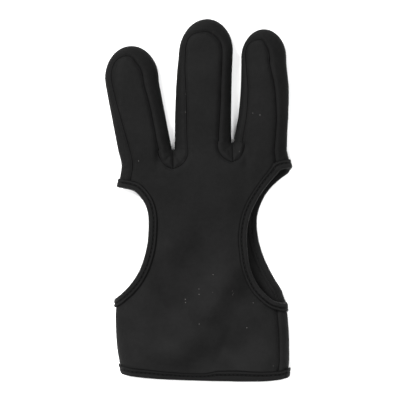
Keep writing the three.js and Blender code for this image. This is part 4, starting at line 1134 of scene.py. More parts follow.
@dataclass
class ClothPanel:
    """The front or the underside: one piece of cloth that wraps round the cuff's side."""

    body: GloveBody
    strips: dict[str, Strip]
    face: Face
    detail: MeshDetail = field(default_factory=MeshDetail)
    relief: SeamRelief = field(default_factory=SeamRelief)

    def __post_init__(self) -> None:
        """Set up the flat pattern."""
        self.wrap = Side.LEFT if self.face is Face.FRONT else Side.RIGHT
        self.pattern = Pattern(self.body, self.face, self.wrap)

    def _low_cross(self, opening: Opening, face: Face, plan: float) -> float:
        """The share of an opening's edge that passes a plan distance inside, low down."""
        off, reach = self.body.sizes.stand_off, 0.14
        want = face.value * float(self.body.faces[face].over(plan))
        way = -1.0 if opening.edge(0.02, 0)[0] > 0 else 1.0
        lowest = float(cross(0.3, 0.7, 0, lambda t: way * opening.edge(t, 0 * t)[0]))
        ends = [opening.edge(lowest + r, off)[0] for r in (reach, -reach)]
        sign = 1.0 if ends[0] > ends[1] else -1.0
        return float(cross(lowest - reach, lowest + reach, want * sign,
                           lambda t: opening.edge(t, off)[0] * sign))

    def _beside(self, side: Side) -> tuple[Spots, Face, float]:
        """The edge along one opening from its top down to the cuff's seam.

        Returns:
            The places, the face that the cuff's seam lies on and its plan distance.
        """
        s, opening = self.body.sizes, self.body.openings[side]
        strip = self.strips["left" if side is Side.LEFT else "right"]
        half = s.seam_gap / 2
        over = strip.seam_over(self.face, strip.seam_end(self.face, half), half)
        top = float(strip.top_edge(over)[0])
        seam_face = Face.BACK if side is Side.LEFT else Face.FRONT
        inset = s.cuff_back_seam if side is Side.LEFT else s.cuff_front_seam
        plan = inset + (-half if side is self.wrap else half)
        low = self._low_cross(opening, seam_face, plan)
        goes = (self.face is Face.FRONT) == (opening.edge(0.02, 0)[0] > 0)
        end = low if goes else low - 1
        count = max(int(abs(end - top) * opening.total / self.detail.border_step), 2)
        t = np.linspace(top, end, count + 1)
        over, y = opening.edge(t, np.full(t.shape, s.stand_off))
        return self.body.unrolled(side, over, y), seam_face, plan

    def _cuff_seam(self, side: Side, face: Face, plan: float, low: float, high: float) -> Spots:
        """Places up a side seam of the cuff."""
        count = max(int(abs(high - low) / self.detail.border_step), 2)
        y = np.linspace(low, high, count + 1)[1:-1]
        x = self.body.outline.side_x(side, y) + side.value * plan
        return Spots(x, y, np.full(y.shape, face.value))

    def border(self) -> tuple[Spots, Array]:
        """The closed edge, clockwise from the left opening's top, and which of it is seam."""
        s, half = self.body.sizes, self.body.sizes.seam_gap / 2
        parts: list[Spots] = []
        seams: list[Array] = []

        def add(spots: Spots, seam: bool) -> None:
            """Take one part of the edge."""
            parts.append(spots)
            seams.append(np.full(spots.x.size, seam))

        for name in ("left", "middle", "right"):
            strip = self.strips[name]
            column = np.arange(0 if name == "left" else 1, strip.columns + 1)
            share = 0.0 if self.face is Face.FRONT else 1.0
            length = strip.place(column, np.full(column.shape, share))[0]
            point, inward = strip.run.at(length)
            plan = strip.inset(self.face, strip.share(length)) + half
            place = point + inward * plan[:, None]
            add(Spots(place[:, 0], place[:, 1], np.full(len(place), self.face.value)), True)
        right, right_face, right_plan = self._beside(Side.RIGHT)
        left, left_face, left_plan = self._beside(Side.LEFT)
        lift = s.stand_off
        start = self.body.ring_turn(Side.RIGHT, right_face, right_plan, lift)
        end = self.body.ring_turn(Side.LEFT, left_face, left_plan, lift)
        start += 1.0 if self.face is Face.FRONT else 0.0
        turns = np.linspace(start, end, int(abs(end - start) * 2 * s.cuff_width) + 1)
        ring = self.body.ring(turns, np.full(turns.shape, lift))
        add(right.take(slice(1, None)), False)
        add(self._cuff_seam(Side.RIGHT, right_face, right_plan, right.y[-1], ring.y[0]), True)
        add(ring, False)
        add(self._cuff_seam(Side.LEFT, left_face, left_plan, ring.y[-1], left.y[-1]), True)
        add(left.take(slice(None, 0, -1)), False)
        return Spots.join(parts), np.concatenate(seams)

    def _fill(self, flat: Array) -> Array:
        """Flat places inside the edge: rows close beside it and an even lattice."""
        closed = np.concatenate([flat, flat[:1]])
        step = np.roll(flat, -1, axis=0) - np.roll(flat, 1, axis=0)
        square = np.stack([step[:, 1], -step[:, 0]], axis=1)
        square = square / np.linalg.norm(square, axis=1, keepdims=True)
        found = []
        for row in self.detail.border_rows:
            place = flat + square * row
            keep = inside(flat, *place.T)
            place = place[keep]
            found.append(place[nearest_on(closed, *place.T).distance > 0.93 * row])
        size = self.detail.cloth_step
        low, high = flat.min(0), flat.max(0)
        tall = size * math.sqrt(3) / 2
        rows = np.arange(math.ceil((high[1] - low[1]) / tall))
        columns = np.arange(math.ceil((high[0] - low[0]) / size))
        row, column = (v.ravel() for v in np.meshgrid(rows, columns))
        place = np.stack([low[0] + (column + (row % 2) / 2) * size, low[1] + row * tall], axis=1)
        place = place[inside(flat, *place.T)]
        margin = self.detail.border_rows[-1] + 0.55 * size
        place = place[nearest_on(closed, *place.T).distance > margin]
        found.append(place)
        joined = np.concatenate(found)
        cells = np.round(joined / 0.24).astype(int)
        _, first = np.unique(cells, axis=0, return_index=True)
        return joined[np.sort(first)]

    def shell(self) -> Shell:
        """The panel's outer sheet, with its seams turned down."""
        spots, seam = self.border()
        flat = self.pattern.to_pattern(spots)
        self.flat = flat
        apart = np.hypot(*(flat - np.roll(flat, 1, axis=0)).T) > 1e-4
        spots, seam, flat = spots.take(apart), seam[apart], flat[apart]
        fill = self._fill(flat)
        every = np.concatenate([flat, fill])
        count = len(flat)
        loop = [(i, (i + 1) % count) for i in range(count)]
        made = delaunay_2d_cdt([Vector(p) for p in every.tolist()], loop, [], 1, 1e-6)
        places = np.array([tuple(v) for v in made[0]])
        triangles = np.array(made[2])
        origin = np.array([ids[0] if ids else -1 for ids in made[3]])
        placed = self.pattern.to_spots(places)
        known = (origin >= 0) & (origin < count)
        for name in ("x", "y", "face"):
            getattr(placed, name)[known] = getattr(spots, name)[origin[known]]
        a, b, c = (places[triangles[:, i]] for i in range(3))
        turned = np.cross(b - a, c - a) > 0
        up = self.face is Face.FRONT
        triangles = np.where((turned == up)[:, None], triangles, triangles[:, ::-1])
        points, normals = self.body.surface(placed)
        both = seam & np.roll(seam, -1)
        near = nearest(flat[both], np.roll(flat, -1, axis=0)[both], *places.T)
        change = self.relief.height(near.distance, near.along, self.body.fine)
        points = points + normals * change[:, None]
        points[:, 2] = np.maximum(points[:, 2], 0.02)
        return Shell(points, normals, triangles, places)

    def flat_size(self) -> tuple[tuple[float, float], float]:
        """The flat cut's width and length, and its area, in metres."""
        x, y = self.flat.T
        area = abs(float((x * np.roll(y, -1) - y * np.roll(x, -1)).sum() / 2))
        width, length = (float(v) for v in self.flat.max(0) - self.flat.min(0))
        return (width * MM, length * MM), area * MM * MM

    def build(self, name: str, placer: Placer, material: bpy.types.Material) -> bpy.types.Object:
        points, faces, uv = self.shell().closed(self.body.sizes.cloth)
        obj = make_mesh(name, placer.metres(points), faces, uv, material, (False, False, True))
        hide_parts(name.removeprefix("cloth_"))
        size, area = self.flat_size()
        return obj


@dataclass
class FingerGusset:
    """The strip of cloth round a finger's sides and over its tip."""

    strip: Strip
    detail: MeshDetail = field(default_factory=MeshDetail)
    relief: SeamRelief = field(default_factory=SeamRelief)
    crotch_reach: float = 3.0
    crotch_slope: float = 1.5
    crotch_steep: float = 3.0
    crotch_gap: float = 0.02

    def shell(self) -> Shell:
        """The strip's outer sheet as a grid, with its seams turned down."""
        strip, body = self.strip, self.strip.body
        rows = self.detail.strip_rows
        turn = np.linspace(0, np.pi, rows + 1)
        shares = 0.75 * (1 - np.cos(turn)) / 2 + 0.25 * turn / np.pi
        column, share = np.meshgrid(np.arange(strip.columns + 1), shares, indexing="ij")
        length, over = strip.place(column, share)
        points, normals = strip.surface(length, over)
        apart = np.minimum(np.abs(over - over[:, :1]), np.abs(over - over[:, -1:]))
        long = np.full(points.shape[:2], 1e3)
        if strip.crotch_start:
            seam = strip.run.points[0, 0] + self.crotch_gap
            points[0, :, 0] = seam
            near = column < strip.columns / 4
            points[..., 0] = np.where(near, np.maximum(points[..., 0], seam), points[..., 0])
            beyond = self.crotch_slope * np.maximum(length - self.crotch_reach, 0)
            long = np.where(near, np.abs(points[..., 0] - seam) + beyond, long)
            self._face_on(normals, 0)
        if strip.crotch_end:
            seam = strip.run.points[-1, 0] - self.crotch_gap
            points[-1, :, 0] = seam
            near = column > strip.columns * 3 / 4
            points[..., 0] = np.where(near, np.minimum(points[..., 0], seam), points[..., 0])
            left = strip.run.total - length
            beyond = self.crotch_slope * np.maximum(left - self.crotch_reach, 0)
            away = np.abs(points[..., 0] - seam) + beyond
            long = np.where(near, np.minimum(long, away), long)
            self._face_on(normals, -1)
        steep = self.crotch_steep * (1 - np.abs(normals[..., 2]))
        change = self.relief.height(np.minimum(apart, long + steep), length, body.mild)
        points = points + normals * change[..., None]
        points[..., 2] = np.maximum(points[..., 2], 0.02)
        number = np.arange(column.size).reshape(column.shape)
        a, b = number[:-1, :-1].ravel(), number[1:, :-1].ravel()
        c, d = number[1:, 1:].ravel(), number[:-1, 1:].ravel()
        triangles = np.concatenate([np.stack([a, c, d], 1), np.stack([a, b, c], 1)])
        flat = np.stack([over, length], axis=-1).reshape(-1, 2)
        return Shell(points.reshape(-1, 3), normals.reshape(-1, 3), triangles, flat)

    @staticmethod
    def _face_on(normals: Array, column: int) -> None:
        """Turn the normals of an end column square to the seam in the crotch."""
        normals[column, :, 0] = 0
        normals[column] /= np.linalg.norm(normals[column], axis=-1, keepdims=True)

    def flat_size(self) -> tuple[tuple[float, float], float]:
        """The strip's width and length laid flat, and its area, in metres."""
        strip = self.strip
        column = np.arange(strip.columns + 1)
        top_length, top = strip.place(column, np.zeros(column.shape))
        low = strip.place(column, np.ones(column.shape))[1]
        wide = top - low
        long = float(top_length[-1] - top_length[0])
        middle = (wide[1:] + wide[:-1]) / 2
        area = float((middle * np.diff(top_length)).sum()) * MM * MM
        return (float(wide.max()) * MM, long * MM), area

    def build(self, name: str, placer: Placer, material: bpy.types.Material) -> bpy.types.Object:
        points, faces, uv = self.shell().closed(self.strip.body.sizes.cloth)
        obj = make_mesh(name, placer.metres(points), faces, uv, material, (False, False, True))
        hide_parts(name.removeprefix("cloth_"))
        size, area = self.flat_size()
        return obj


@dataclass
class FoldedTape:
    """A tape folded over an edge: a rounded section carried round a closed line."""

    body: GloveBody
    spots: Callable[[Array, Array], Spots]
    total: float
    joint: float
    flip: bool
    detail: MeshDetail = field(default_factory=MeshDetail)
    stitch_line: float = 3.6
    groove: float = 0.46
    groove_reach: float = 0.42
    crown: float = 0.13
    pressed: float = 0.42
    pressed_reach: float = 0.45
    uneven: float = 0.07
    joint_step: float = 0.42
    joint_slope: float = 0.7
    overlap: float = 9.0
    fold: float = 1.15
    waver: Table | None = None

    def _places(self, t: Array, width: Array) -> Spots:
        """Places on the cloth, with the front's wavering of the tape's raw edge."""
        spots = self.spots(t, width)
        if self.waver is None:
            return spots
        more = self.waver.read("more", spots.x) * (spots.face > 0)
        return self.spots(t, width + more * width / self.body.sizes.tape_width)

    def _section(self) -> tuple[Array, Array, Array]:
        """The section's widths from the edge, stands off the cloth and flat widths.

        It goes from the outer leg's raw edge over the fold, which is half an ellipse, to
        the inner leg's raw edge, and back along the inside of both legs.
        """
        s = self.body.sizes
        wide, out = s.tape_width, s.stand_off
        under = -s.cloth - s.seam_gap
        deep = under - s.tape
        leg = np.array([5.9, 5.75, 5.4, 4.9, 4.45, 4.1, 3.85, 3.6, 3.35, 3.1, 2.75, 2.3, 1.75])
        leg = leg * wide / 5.9
        turn = np.linspace(0, np.pi, 15)[1:-1]
        centre, half = (out + deep) / 2, (out - deep) / 2
        bend = np.stack([self.fold * (1 - np.sin(turn)), centre + half * np.cos(turn)])
        back = np.array([5.7, 4.6, 3.6, 2.4, s.tape + 0.1])
        inner = back[::-1]
        widths = np.concatenate([leg, [self.fold], bend[0], [self.fold], leg[::-1],
                                 back, inner])
        stands = np.concatenate([np.full(leg.size + 1, out), bend[1], np.full(leg.size + 1, deep),
                                 np.full(back.size, under + 0.04),
                                 np.full(inner.size, s.seam_gap - 0.04)])
        flat = np.concatenate([[0], np.cumsum(np.hypot(np.diff(widths), np.diff(stands)))])
        return widths, stands, flat

    def _relief(self, width: Array, stand: Array, along: Array) -> Array:
        """The change of the stand: a stitched groove, a crown between, and the joint.

        The groove is a bell across the tape that is deeper at each stitch; the raw edge is
        pressed down; the joint is a second layer that steps up and down again.
        """
        s = self.body.sizes
        outer, leg = stand > s.seam_gap + 0.3, stand < -s.cloth - s.seam_gap - 0.3
        sign = np.where(outer, 1.0, np.where(leg, -1.0, 0.0))
        between = 0.5 - 0.5 * np.cos(2 * np.pi * along / self.detail.stitch_pitch)
        groove = -self.groove * (0.55 + 0.45 * between)
        groove = groove * np.exp(-(((width - self.stitch_line) / self.groove_reach) ** 2))
        crown = self.crown * np.sin(np.pi * np.clip(width / self.stitch_line, 0, 1))
        raw = -self.pressed * np.exp(-(((s.tape_width - width) / self.pressed_reach) ** 2))
        uneven = self.uneven * self.body.fine.at(along * 1.1, width * 0.6 + 40)
        from_joint = np.abs(np.mod(along - self.joint + self.total / 2, self.total)
                            - self.total / 2)
        step = (from_joint - self.overlap / 2) / self.joint_slope
        step = self.joint_step * (1 - ease(step))
        return sign * (groove + crown + raw + uneven + step)

    def points(self) -> tuple[Array, Array]:
        """The tape's points as a grid of stations by section, and their flat places."""
        stations = int(self.total / self.detail.tape_step)
        turn = np.arange(stations) / stations
        widths, stands, flat = self._section()
        t, width = np.meshgrid(turn, widths, indexing="ij")
        stand = np.broadcast_to(stands, t.shape)
        along = t * self.total
        sway = 0.16 * self.body.fine.at(along * 0.4, 0 * along + 71) * width / widths.max()
        spots = self._places(t.ravel(), (width + sway).ravel())
        point, normal = self.body.surface(spots)
        change = self._relief(width, stand, along)
        place = point + normal * (stand + change).ravel()[:, None]
        place[:, 2] = np.maximum(place[:, 2], 0.0)
        return place.reshape(*t.shape, 3), np.stack([along, np.broadcast_to(flat, t.shape)], -1)

    def build(self, name: str, placer: Placer, material: bpy.types.Material) -> bpy.types.Object:
        grid, flat = self.points()
        rows, across = grid.shape[:2]
        number = np.arange(rows * across).reshape(rows, across)
        after, beside = np.roll(number, -1, axis=0), np.roll(number, -1, axis=1)
        corner = np.roll(after, -1, axis=1)
        quads = np.stack([number, beside, corner, after], axis=-1).reshape(-1, 4)
        if self.flip:
            quads = quads[:, ::-1]
        obj = make_mesh(name, placer.metres(grid.reshape(-1, 3)), [quads],
                        flat.reshape(-1, 2), material, (False,))
        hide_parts(name.removeprefix("folded_"))
        self.total * MM
        return obj

    def stitches(self, name: str, placer: Placer, material: bpy.types.Material
                 ) -> bpy.types.Object:
        """The row of stitches in the tape's groove, on both legs, as one object."""
        s, pitch = self.body.sizes, self.detail.stitch_pitch
        count = int(round(self.total / pitch))
        t = (np.arange(count) + 0.5) / count
        wide = np.full(count, self.stitch_line)
        small = 0.8 / self.total
        depth = self.stitch_depth()
        groups = []
        for stand, sign in ((s.stand_off - depth, 1.0), (-s.cloth - s.stand_off + depth, -1.0)):
            spots = [self._places(t + d, wide) for d in (-small, 0.0, small)]
            placed = [self.body.surface(v) for v in spots]
            centre = placed[1][0] + placed[1][1] * stand
            ahead = placed[2][0] - placed[0][0]
            groups.append((centre, ahead, placed[1][1] * sign))
        centre, ahead, up = (np.concatenate(parts) for parts in zip(*groups))
        return StitchRow(centre, ahead, up).build(name, placer, material)

    def stitch_depth(self) -> float:
        """How far a stitch's middle lies below the tape's face."""
        return 0.6 * self.groove


@dataclass
class StitchRow:
    """Many stitches as one object: each a short bead with six sides and five rings."""

    centre: Array
    ahead: Array
    up: Array
    length: float = 2.1
    width: float = 0.46
    height: float = 0.4

    def build(self, name: str, placer: Placer, material: bpy.types.Material) -> bpy.types.Object:
        """Carry one bead to every place, turned to its directions."""
        turn = np.pi * np.array([0.08, 0.3, 0.5, 0.7, 0.92])
        spin = 2 * np.pi * np.arange(6) / 6
        along = np.repeat(-np.cos(turn), 6) * self.length / 2
        ring = np.repeat(np.sin(turn), 6)
        across = ring * np.tile(np.cos(spin), 5) * self.width / 2
        rise = ring * np.tile(np.sin(spin), 5) * self.height / 2
        bead = np.stack([along, across, rise], axis=1)
        ahead = self.ahead / np.linalg.norm(self.ahead, axis=1, keepdims=True)
        side = np.cross(self.up, ahead)
        side /= np.linalg.norm(side, axis=1, keepdims=True)
        up = np.cross(ahead, side)
        axes = np.stack([ahead, side, up], axis=1)
        points = self.centre[:, None, :] + np.einsum("ij,njk->nik", bead, axes)
        number = np.arange(30).reshape(5, 6)
        a, d = number[:-1].ravel(), number[1:].ravel()
        b, c = np.roll(number, -1, 1)[:-1].ravel(), np.roll(number, -1, 1)[1:].ravel()
        quads = np.stack([a, d, c, b], axis=1)
        ends = np.stack([number[0], number[-1][::-1]])
        start = 30 * np.arange(len(self.centre))[:, None, None]
        flat = np.tile(bead[:, :2], (len(self.centre), 1))
        obj = make_mesh(name, placer.metres(points.reshape(-1, 3)),
                        [(start + quads).reshape(-1, 4), (start + ends).reshape(-1, 6)],
                        flat, material, (False, False))
        return obj


class Wire:
    """A node output or a number that can stand in arithmetic."""

    def __init__(self, shader: "Shader", socket: bpy.types.NodeSocket) -> None:
        """Keep the output and the shader that it belongs to."""
        self.shader, self.socket = shader, socket

    def _math(self, operation: str, *values: "Wire | float") -> "Wire":
        """Add one Math node."""
        inputs = {i: value for i, value in enumerate(values)}
        return self.shader.node("ShaderNodeMath", {"operation": operation}, inputs)[0]

    def __add__(self, other: "Wire | float") -> "Wire":
        """Sum."""
        return self._math("ADD", self, other)

    __radd__ = __add__

    def __sub__(self, other: "Wire | float") -> "Wire":
        """Difference."""
        return self._math("SUBTRACT", self, other)

    def __rsub__(self, other: float) -> "Wire":
        """Difference from a number."""
        return self._math("SUBTRACT", other, self)

    def __mul__(self, other: "Wire | float") -> "Wire":
        """Product."""
        return self._math("MULTIPLY", self, other)

    __rmul__ = __mul__

    def __truediv__(self, other: "Wire | float") -> "Wire":
        """Quotient."""
        return self._math("DIVIDE", self, other)

    def __pow__(self, other: "Wire | float") -> "Wire":
        """Power."""
        return self._math("POWER", self, other)

    def __lt__(self, other: "Wire | float") -> "Wire":
        """1 where this is less than the other."""
        return self._math("LESS_THAN", self, other)

    def sine(self) -> "Wire":
        """Sine of an angle in radians."""
        return self._math("SINE", self)

    def cosine(self) -> "Wire":
        """Cosine of an angle in radians."""
        return self._math("COSINE", self)

    def bounce(self, size: float) -> "Wire":
        """A wave of straight slopes from 0 up to the size and back."""
        return self._math("PINGPONG", self, size)

    def held(self) -> "Wire":
        """Kept from 0 to 1."""
        return self.shader.node("ShaderNodeClamp", {}, {0: self})[0]


class Shader:
    """A material's node tree, with one method for adding any node."""

    def __init__(self, name: str) -> None:
        """Make the material with an empty tree."""
        self.material = bpy.data.materials.new(name)
        self.material.use_nodes = True
        self.tree = self.material.node_tree
        self.tree.nodes.clear()

    def node(self, kind: str, settings: dict[str, object], inputs: dict[int | str, object]
             ) -> list[Wire]:
        """Add a node.

        Args:
            kind: The node's type.
            settings: Its own settings by name.
            inputs: Values or wires for its inputs, by number or name.

        Returns:
            Its outputs as wires.
        """
        node = self.tree.nodes.new(kind)
        for name, value in settings.items():
            setattr(node, name, value)
        for key, value in inputs.items():
            if isinstance(value, Wire):
                self.tree.links.new(value.socket, node.inputs[key])
            else:
                node.inputs[key].default_value = value
        return [Wire(self, output) for output in node.outputs]

    def flat(self) -> tuple[Wire, Wire, Wire]:
        """The mesh's flat places in millimetres, as a vector and as x and y."""
        place = self.node("ShaderNodeUVMap", {"uv_map": "flat"}, {})[0]
        x, y, _ = self.node("ShaderNodeSeparateXYZ", {}, {0: place})
        return place, x, y

    def place(self) -> Wire:
        """The object's own coordinates in metres."""
        return self.node("ShaderNodeTexCoord", {}, {})[3]

    def noise(self, place: Wire, scale: float, detail: float = 2.0) -> Wire:
        """Cloudy values about 0.5."""
        inputs = {"Vector": place, "Scale": scale, "Detail": detail}
        return self.node("ShaderNodeTexNoise", {}, inputs)[0]

    def blend(self, factor: Wire, first: object, second: object) -> Wire:
        """Mix two colours."""
        inputs = {0: factor, 6: first, 7: second}
        return self.node("ShaderNodeMix", {"data_type": "RGBA"}, inputs)[2]

    def bump(self, height: Wire, distance: float, strength: float = 1.0) -> Wire:
        """Turn a height in units of the distance into a normal."""
        inputs = {"Height": height, "Distance": distance, "Strength": strength}
        return self.node("ShaderNodeBump", {}, inputs)[0]

    def finish(self, inputs: dict[int | str, object]) -> bpy.types.Material:
        """Add the surface and the output."""
        surface = self.node("ShaderNodeBsdfPrincipled", {}, inputs)[0]
        self.node("ShaderNodeOutputMaterial", {}, {0: surface})
        return self.material


def grey(value: float, warm: float = 0.0) -> tuple[float, float, float, float]:
    """A grey colour, a little warmer above 0 and cooler below."""
    return (value * (1 + warm), value, value * (1 - warm), 1.0)


@dataclass(frozen=True)
class KnitCloth:
    """Fine matt knit: columns of small loops, soft mottling, painted light that makes the cloth
    paler low down, and lint.
    """

    name: str
    shade: float
    loop_width: float = 0.62
    loop_height: float = 0.5
    sideways: bool = False
    lint: float = 1.0
    lint_cells: float = 230.0
    lint_size: float = 0.062
    lint_share: float = 0.16
    # Painted light: how much the cloth is painted paler low down, and the height in millimetres up
    # to which it reaches.
    painted_light_strength: float = 0.4
    painted_light_top: float = 85.0

    def build(self) -> bpy.types.Material:
        """Work the finish out from the flat places and the object's coordinates."""
        sh = Shader(self.name)
        _, x, y = sh.flat()
        if self.sideways:
            x, y = y, x
        place = sh.place()
        column, row = x / self.loop_width, y / self.loop_height
        slant = column.bounce(0.5)
        loops = ((row + slant) * (2 * math.pi)).sine()
        ribs = (column * (2 * math.pi)).cosine()
        knit = loops * 0.45 + ribs * 0.55
        cloud = sh.noise(place, 420.0, 3.0)
        fuzz = sh.noise(place, 2600.0, 2.0)
        height = knit * 0.5 + cloud * 1.2 + fuzz * 0.6
        broad = sh.noise(place, 55.0, 2.0)
        # Painted light: the colour is made paler towards the cuff's mouth, fading out higher up, in
        # broad blotches.
        painted_light_low = ((self.painted_light_top - y) / self.painted_light_top + broad * 1.6 - 0.8).held() * self.painted_light_strength
        shade = (knit * 0.09 + cloud * 0.65 + broad * 0.6 + painted_light_low - 0.14).held()
        colour = sh.blend(shade, grey(self.shade * 0.5), grey(self.shade * 1.5))
        specks = sh.node("ShaderNodeTexVoronoi", {}, {"Vector": place,
                                                      "Scale": self.lint_cells})
        chance = sh.node("ShaderNodeSeparateColor", {}, {0: specks[1]})[0]
        small = (specks[0] < self.lint_size) * (chance < self.lint_share) * self.lint
        colour = sh.blend(small, colour, grey(0.085, 0.04))
        rough = cloud * 0.12 + 0.56
        return sh.finish({
            "Base Color": colour,
            "Roughness": rough,
            "Specular IOR Level": 0.04,
            "Sheen Weight": 0.005,
            "Sheen Roughness": 0.5,
            "Sheen Tint": grey(0.75),
            "Normal": sh.bump(height, 0.00011, 0.85),
        })


@dataclass(frozen=True)
class RibbedTape:
    """Woven edging tape: fine ribs across it, a slightly smoother face and painted shade along its
    raw edge and stitch line.
    """

    name: str
    shade: float
    rib: float = 0.72
    stitched: float = 2.3

    @staticmethod
    def _line(across: Wire, at: float, half: float) -> Wire:
        """1 on a line along the tape, fading to 0 at half its width."""
        off = (across - at) / half
        return (1.0 - off * off).held()

    def build(self) -> bpy.types.Material:
        """Work the finish out from the flat places."""
        sh = Shader(self.name)
        _, along, across = sh.flat()
        place = sh.place()
        ribs = (along * (2 * math.pi / self.rib)).sine()
        picks = ((across / 0.34 + along.bounce(self.rib)) * (2 * math.pi)).sine()
        cloud = sh.noise(place, 500.0, 2.0)
        weave = ribs * 0.7 + picks * 0.2
        shade = (weave * 0.3 + cloud * 0.5 + 0.25).held()
        colour = sh.blend(shade, grey(self.shade * 0.6), grey(self.shade * 1.6))
        # Painted shade: the colour is darkened along the raw edge and along the stitch line, where
        # the tape's grooves lie.
        painted_groove_shade = self._line(across, 0.0, 0.85) + self._line(across, self.stitched, 0.75)
        colour = sh.blend(painted_groove_shade.held(), colour, grey(self.shade * 0.08))
        return sh.finish({
            "Base Color": colour,
            "Roughness": cloud * 0.1 + 0.52,
            "Specular IOR Level": 0.05,
            "Sheen Weight": 0.005,
            "Sheen Roughness": 0.4,
            "Sheen Tint": grey(0.75),
            "Normal": sh.bump(weave + cloud * 0.6, 0.00013, 0.9),
        })


@dataclass(frozen=True)
class SewingThread:
    """Twisted thread, a little shinier than the tape."""

    name: str
    shade: float

    def build(self) -> bpy.types.Material:
        """Slanted stripes across each stitch."""
        sh = Shader(self.name)
        _, along, across = sh.flat()
        twist = ((along * 2.6 + across * 2.0) * (2 * math.pi)).sine()
        colour = sh.blend((twist * 0.4 + 0.5).held(), grey(self.shade * 0.8), grey(self.shade * 1.3))
        return sh.finish({
            "Base Color": colour,
            "Roughness": 0.6,
            "Specular IOR Level": 0.12,
            "Normal": sh.bump(twist, 0.00005, 0.8),
        })


@dataclass(frozen=True)
class FloorFinish:
    """Plain pale floor."""

    shade: float = 0.93

    def build(self) -> bpy.types.Material:
        """One even pale colour."""
        return Shader("floor").finish({
            "Base Color": grey(self.shade),
            "Roughness": 0.9,
            "Specular IOR Level": 0.1,
        })


@dataclass
class Studio:
    """The floor, the lamps and the camera straight above the glove."""

    placer: Placer
    pixel: float = 0.65
    pixels: int = 400
    centre_x: float = -1.98
    centre_y: float = 117.2
    height: float = 1.2
    focus_height: float = 0.0066
    half_floor: float = 4.0
    world: float = 0.5
    key_place: tuple[float, float, float] = (-1.0, 0.95, 1.5)
    key_power: float = 88.0
    key_size: float = 0.8
    top_place: tuple[float, float, float] = (0.3, -0.45, 1.7)
    top_power: float = 28.0
    top_size: float = 0.9

    def floor(self) -> None:
        """A square floor far wider than the glove, at the height that it lies on."""
        half = self.half_floor
        corners = np.array([[-half, -half, 0], [half, -half, 0], [half, half, 0],
                            [-half, half, 0]], float)
        obj = make_mesh("floor", corners, [np.array([[0, 1, 2, 3]])], corners[:, :2],
                        FloorFinish().build(), (True,))

    def lamp(self, name: str, place: tuple[float, float, float], size: float, power: float
             ) -> None:
        """A square soft lamp that points at the glove."""
        data = bpy.data.lights.new(name, "AREA")
        data.shape, data.size, data.energy = "SQUARE", size, power
        obj = bpy.data.objects.new(name, data)
        obj.location = place
        obj.rotation_euler = (-Vector(place)).to_track_quat("-Z", "Y").to_euler()
        bpy.context.scene.collection.objects.link(obj)

    def lights(self) -> None:
        """Soft light from all round, stronger from the upper left."""
        world = bpy.data.worlds.new("studio")
        world.use_nodes = True
        node = world.node_tree.nodes["Background"]
        node.inputs[0].default_value = (1, 1, 1, 1)
        node.inputs[1].default_value = self.world
        bpy.context.scene.world = world
        self.lamp("key", self.key_place, self.key_size, self.key_power)
        self.lamp("top", self.top_place, self.top_size, self.top_power)

    def camera(self) -> None:
        """A camera straight above, whose scale is the photo's at the outline's height."""
        data = bpy.data.cameras.new("camera")
        wide = self.pixel * self.pixels * MM
        data.sensor_width = 36.0
        data.lens = data.sensor_width * (self.height - self.focus_height) / wide
        data.clip_start, data.clip_end = 0.05, 20.0
        obj = bpy.data.objects.new("camera", data)
        centre = self.placer.metres(np.array([self.centre_x, self.centre_y, 0.0]))
        obj.location = (float(centre[0]), float(centre[1]), self.height)
        obj.rotation_euler = (0.0, 0.0, 0.0)
        bpy.context.scene.collection.objects.link(obj)
        bpy.context.scene.camera = obj
        bpy.context.scene.view_settings.view_transform = "Standard"

    def build(self) -> None:
        """Set everything up."""
        self.floor()
        self.lights()
        self.camera()


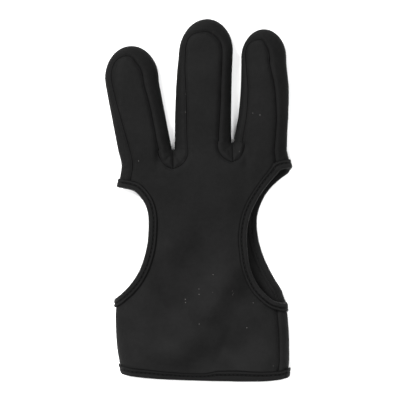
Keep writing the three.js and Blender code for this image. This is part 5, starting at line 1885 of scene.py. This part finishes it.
@dataclass
class ArcheryGlove:
    """The whole glove: two panels, three finger strips, two opening tapes and the hem."""

    sizes: GloveSizes = field(default_factory=GloveSizes)
    detail: MeshDetail = field(default_factory=MeshDetail)

    def __post_init__(self) -> None:
        """Work out the body's surface, the strips and the finishes."""
        self.body = GloveBody(self.sizes)
        self.placer = Placer.from_frame(self.body)
        seams = {"left": LEFT_SEAM, "middle": MIDDLE_SEAM, "right": RIGHT_SEAM}
        self.strips = {name: Strip(self.body, name, seam, self.detail.strip_columns)
                       for name, seam in seams.items()}
        self.cloth = KnitCloth("knit cloth", 0.0045).build()
        self.side_cloth = KnitCloth("side cloth", 0.004, sideways=True, lint=0.6,
                                    painted_light_strength=0.0).build()
        self.tape = RibbedTape("edging tape", 0.0047).build()
        self.thread = SewingThread("sewing thread", 0.003).build()

    def _keep(self, obj: bpy.types.Object) -> None:
        """Let a piece ride on the root and log it."""
        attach(obj, ROOT)
        report(obj)

    def panels(self) -> None:
        """The front and the underside."""
        for name, face in (("cloth_front_panel", Face.FRONT), ("cloth_back_panel", Face.BACK)):
            panel = ClothPanel(self.body, self.strips, face, self.detail)
            self._keep(panel.build(name, self.placer, self.cloth))

    def gussets(self) -> None:
        """The three finger strips."""
        for name, strip in self.strips.items():
            gusset = FingerGusset(strip, self.detail)
            obj = gusset.build(f"cloth_{name}_finger_gusset", self.placer, self.side_cloth)
            self._keep(obj)

    def tapes(self) -> None:
        """The opening tapes and the hem, with their stitches."""
        for side, opening in self.body.openings.items():

            def spots(t: Array, width: Array, opening: Opening = opening) -> Spots:
                """Places on the cloth at a share of the opening's edge and a width."""
                over, y = opening.edge(t, width)
                return self.body.unrolled(opening.side, over, y)

            label = side.name.lower()
            joint = (0.52 if side is Side.LEFT else 0.47) * opening.total
            tape = FoldedTape(self.body, spots, opening.total, joint, side is Side.RIGHT,
                              self.detail)
            self._keep(tape.build(f"folded_{label}_opening_binding", self.placer, self.tape))
            self._keep(tape.stitches(f"{label}_opening_stitches", self.placer, self.thread))
        turns = np.linspace(0, 1, 400)
        ring = self.body.ring(turns, np.zeros(400))
        place = self.body.surface(ring)[0]
        total = float(np.linalg.norm(np.diff(place, axis=0), axis=1).sum())
        hem = FoldedTape(self.body, self.body.ring, total, 0.5 * total, False, self.detail,
                         waver=HEM_WAVER)
        self._keep(hem.build("folded_cuff_hem", self.placer, self.tape))
        self._keep(hem.stitches("cuff_hem_stitches", self.placer, self.thread))

    def build(self) -> None:
        """Build every piece in order."""
        self.panels()
        self.gussets()
        self.tapes()


def corners(bounds: tuple[Vector, Vector]) -> list[list[float]]:
    """Two corners as plain lists of numbers."""
    return [[float(v) for v in corner] for corner in bounds]


def main() -> None:
    """Build the glove and the studio."""
    logging.basicConfig(level=logging.INFO, format="%(name)s: %(message)s")
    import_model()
    glove = ArcheryGlove()
    glove.build()
    Studio(glove.placer).build()


if __name__ == "__main__":
    main()
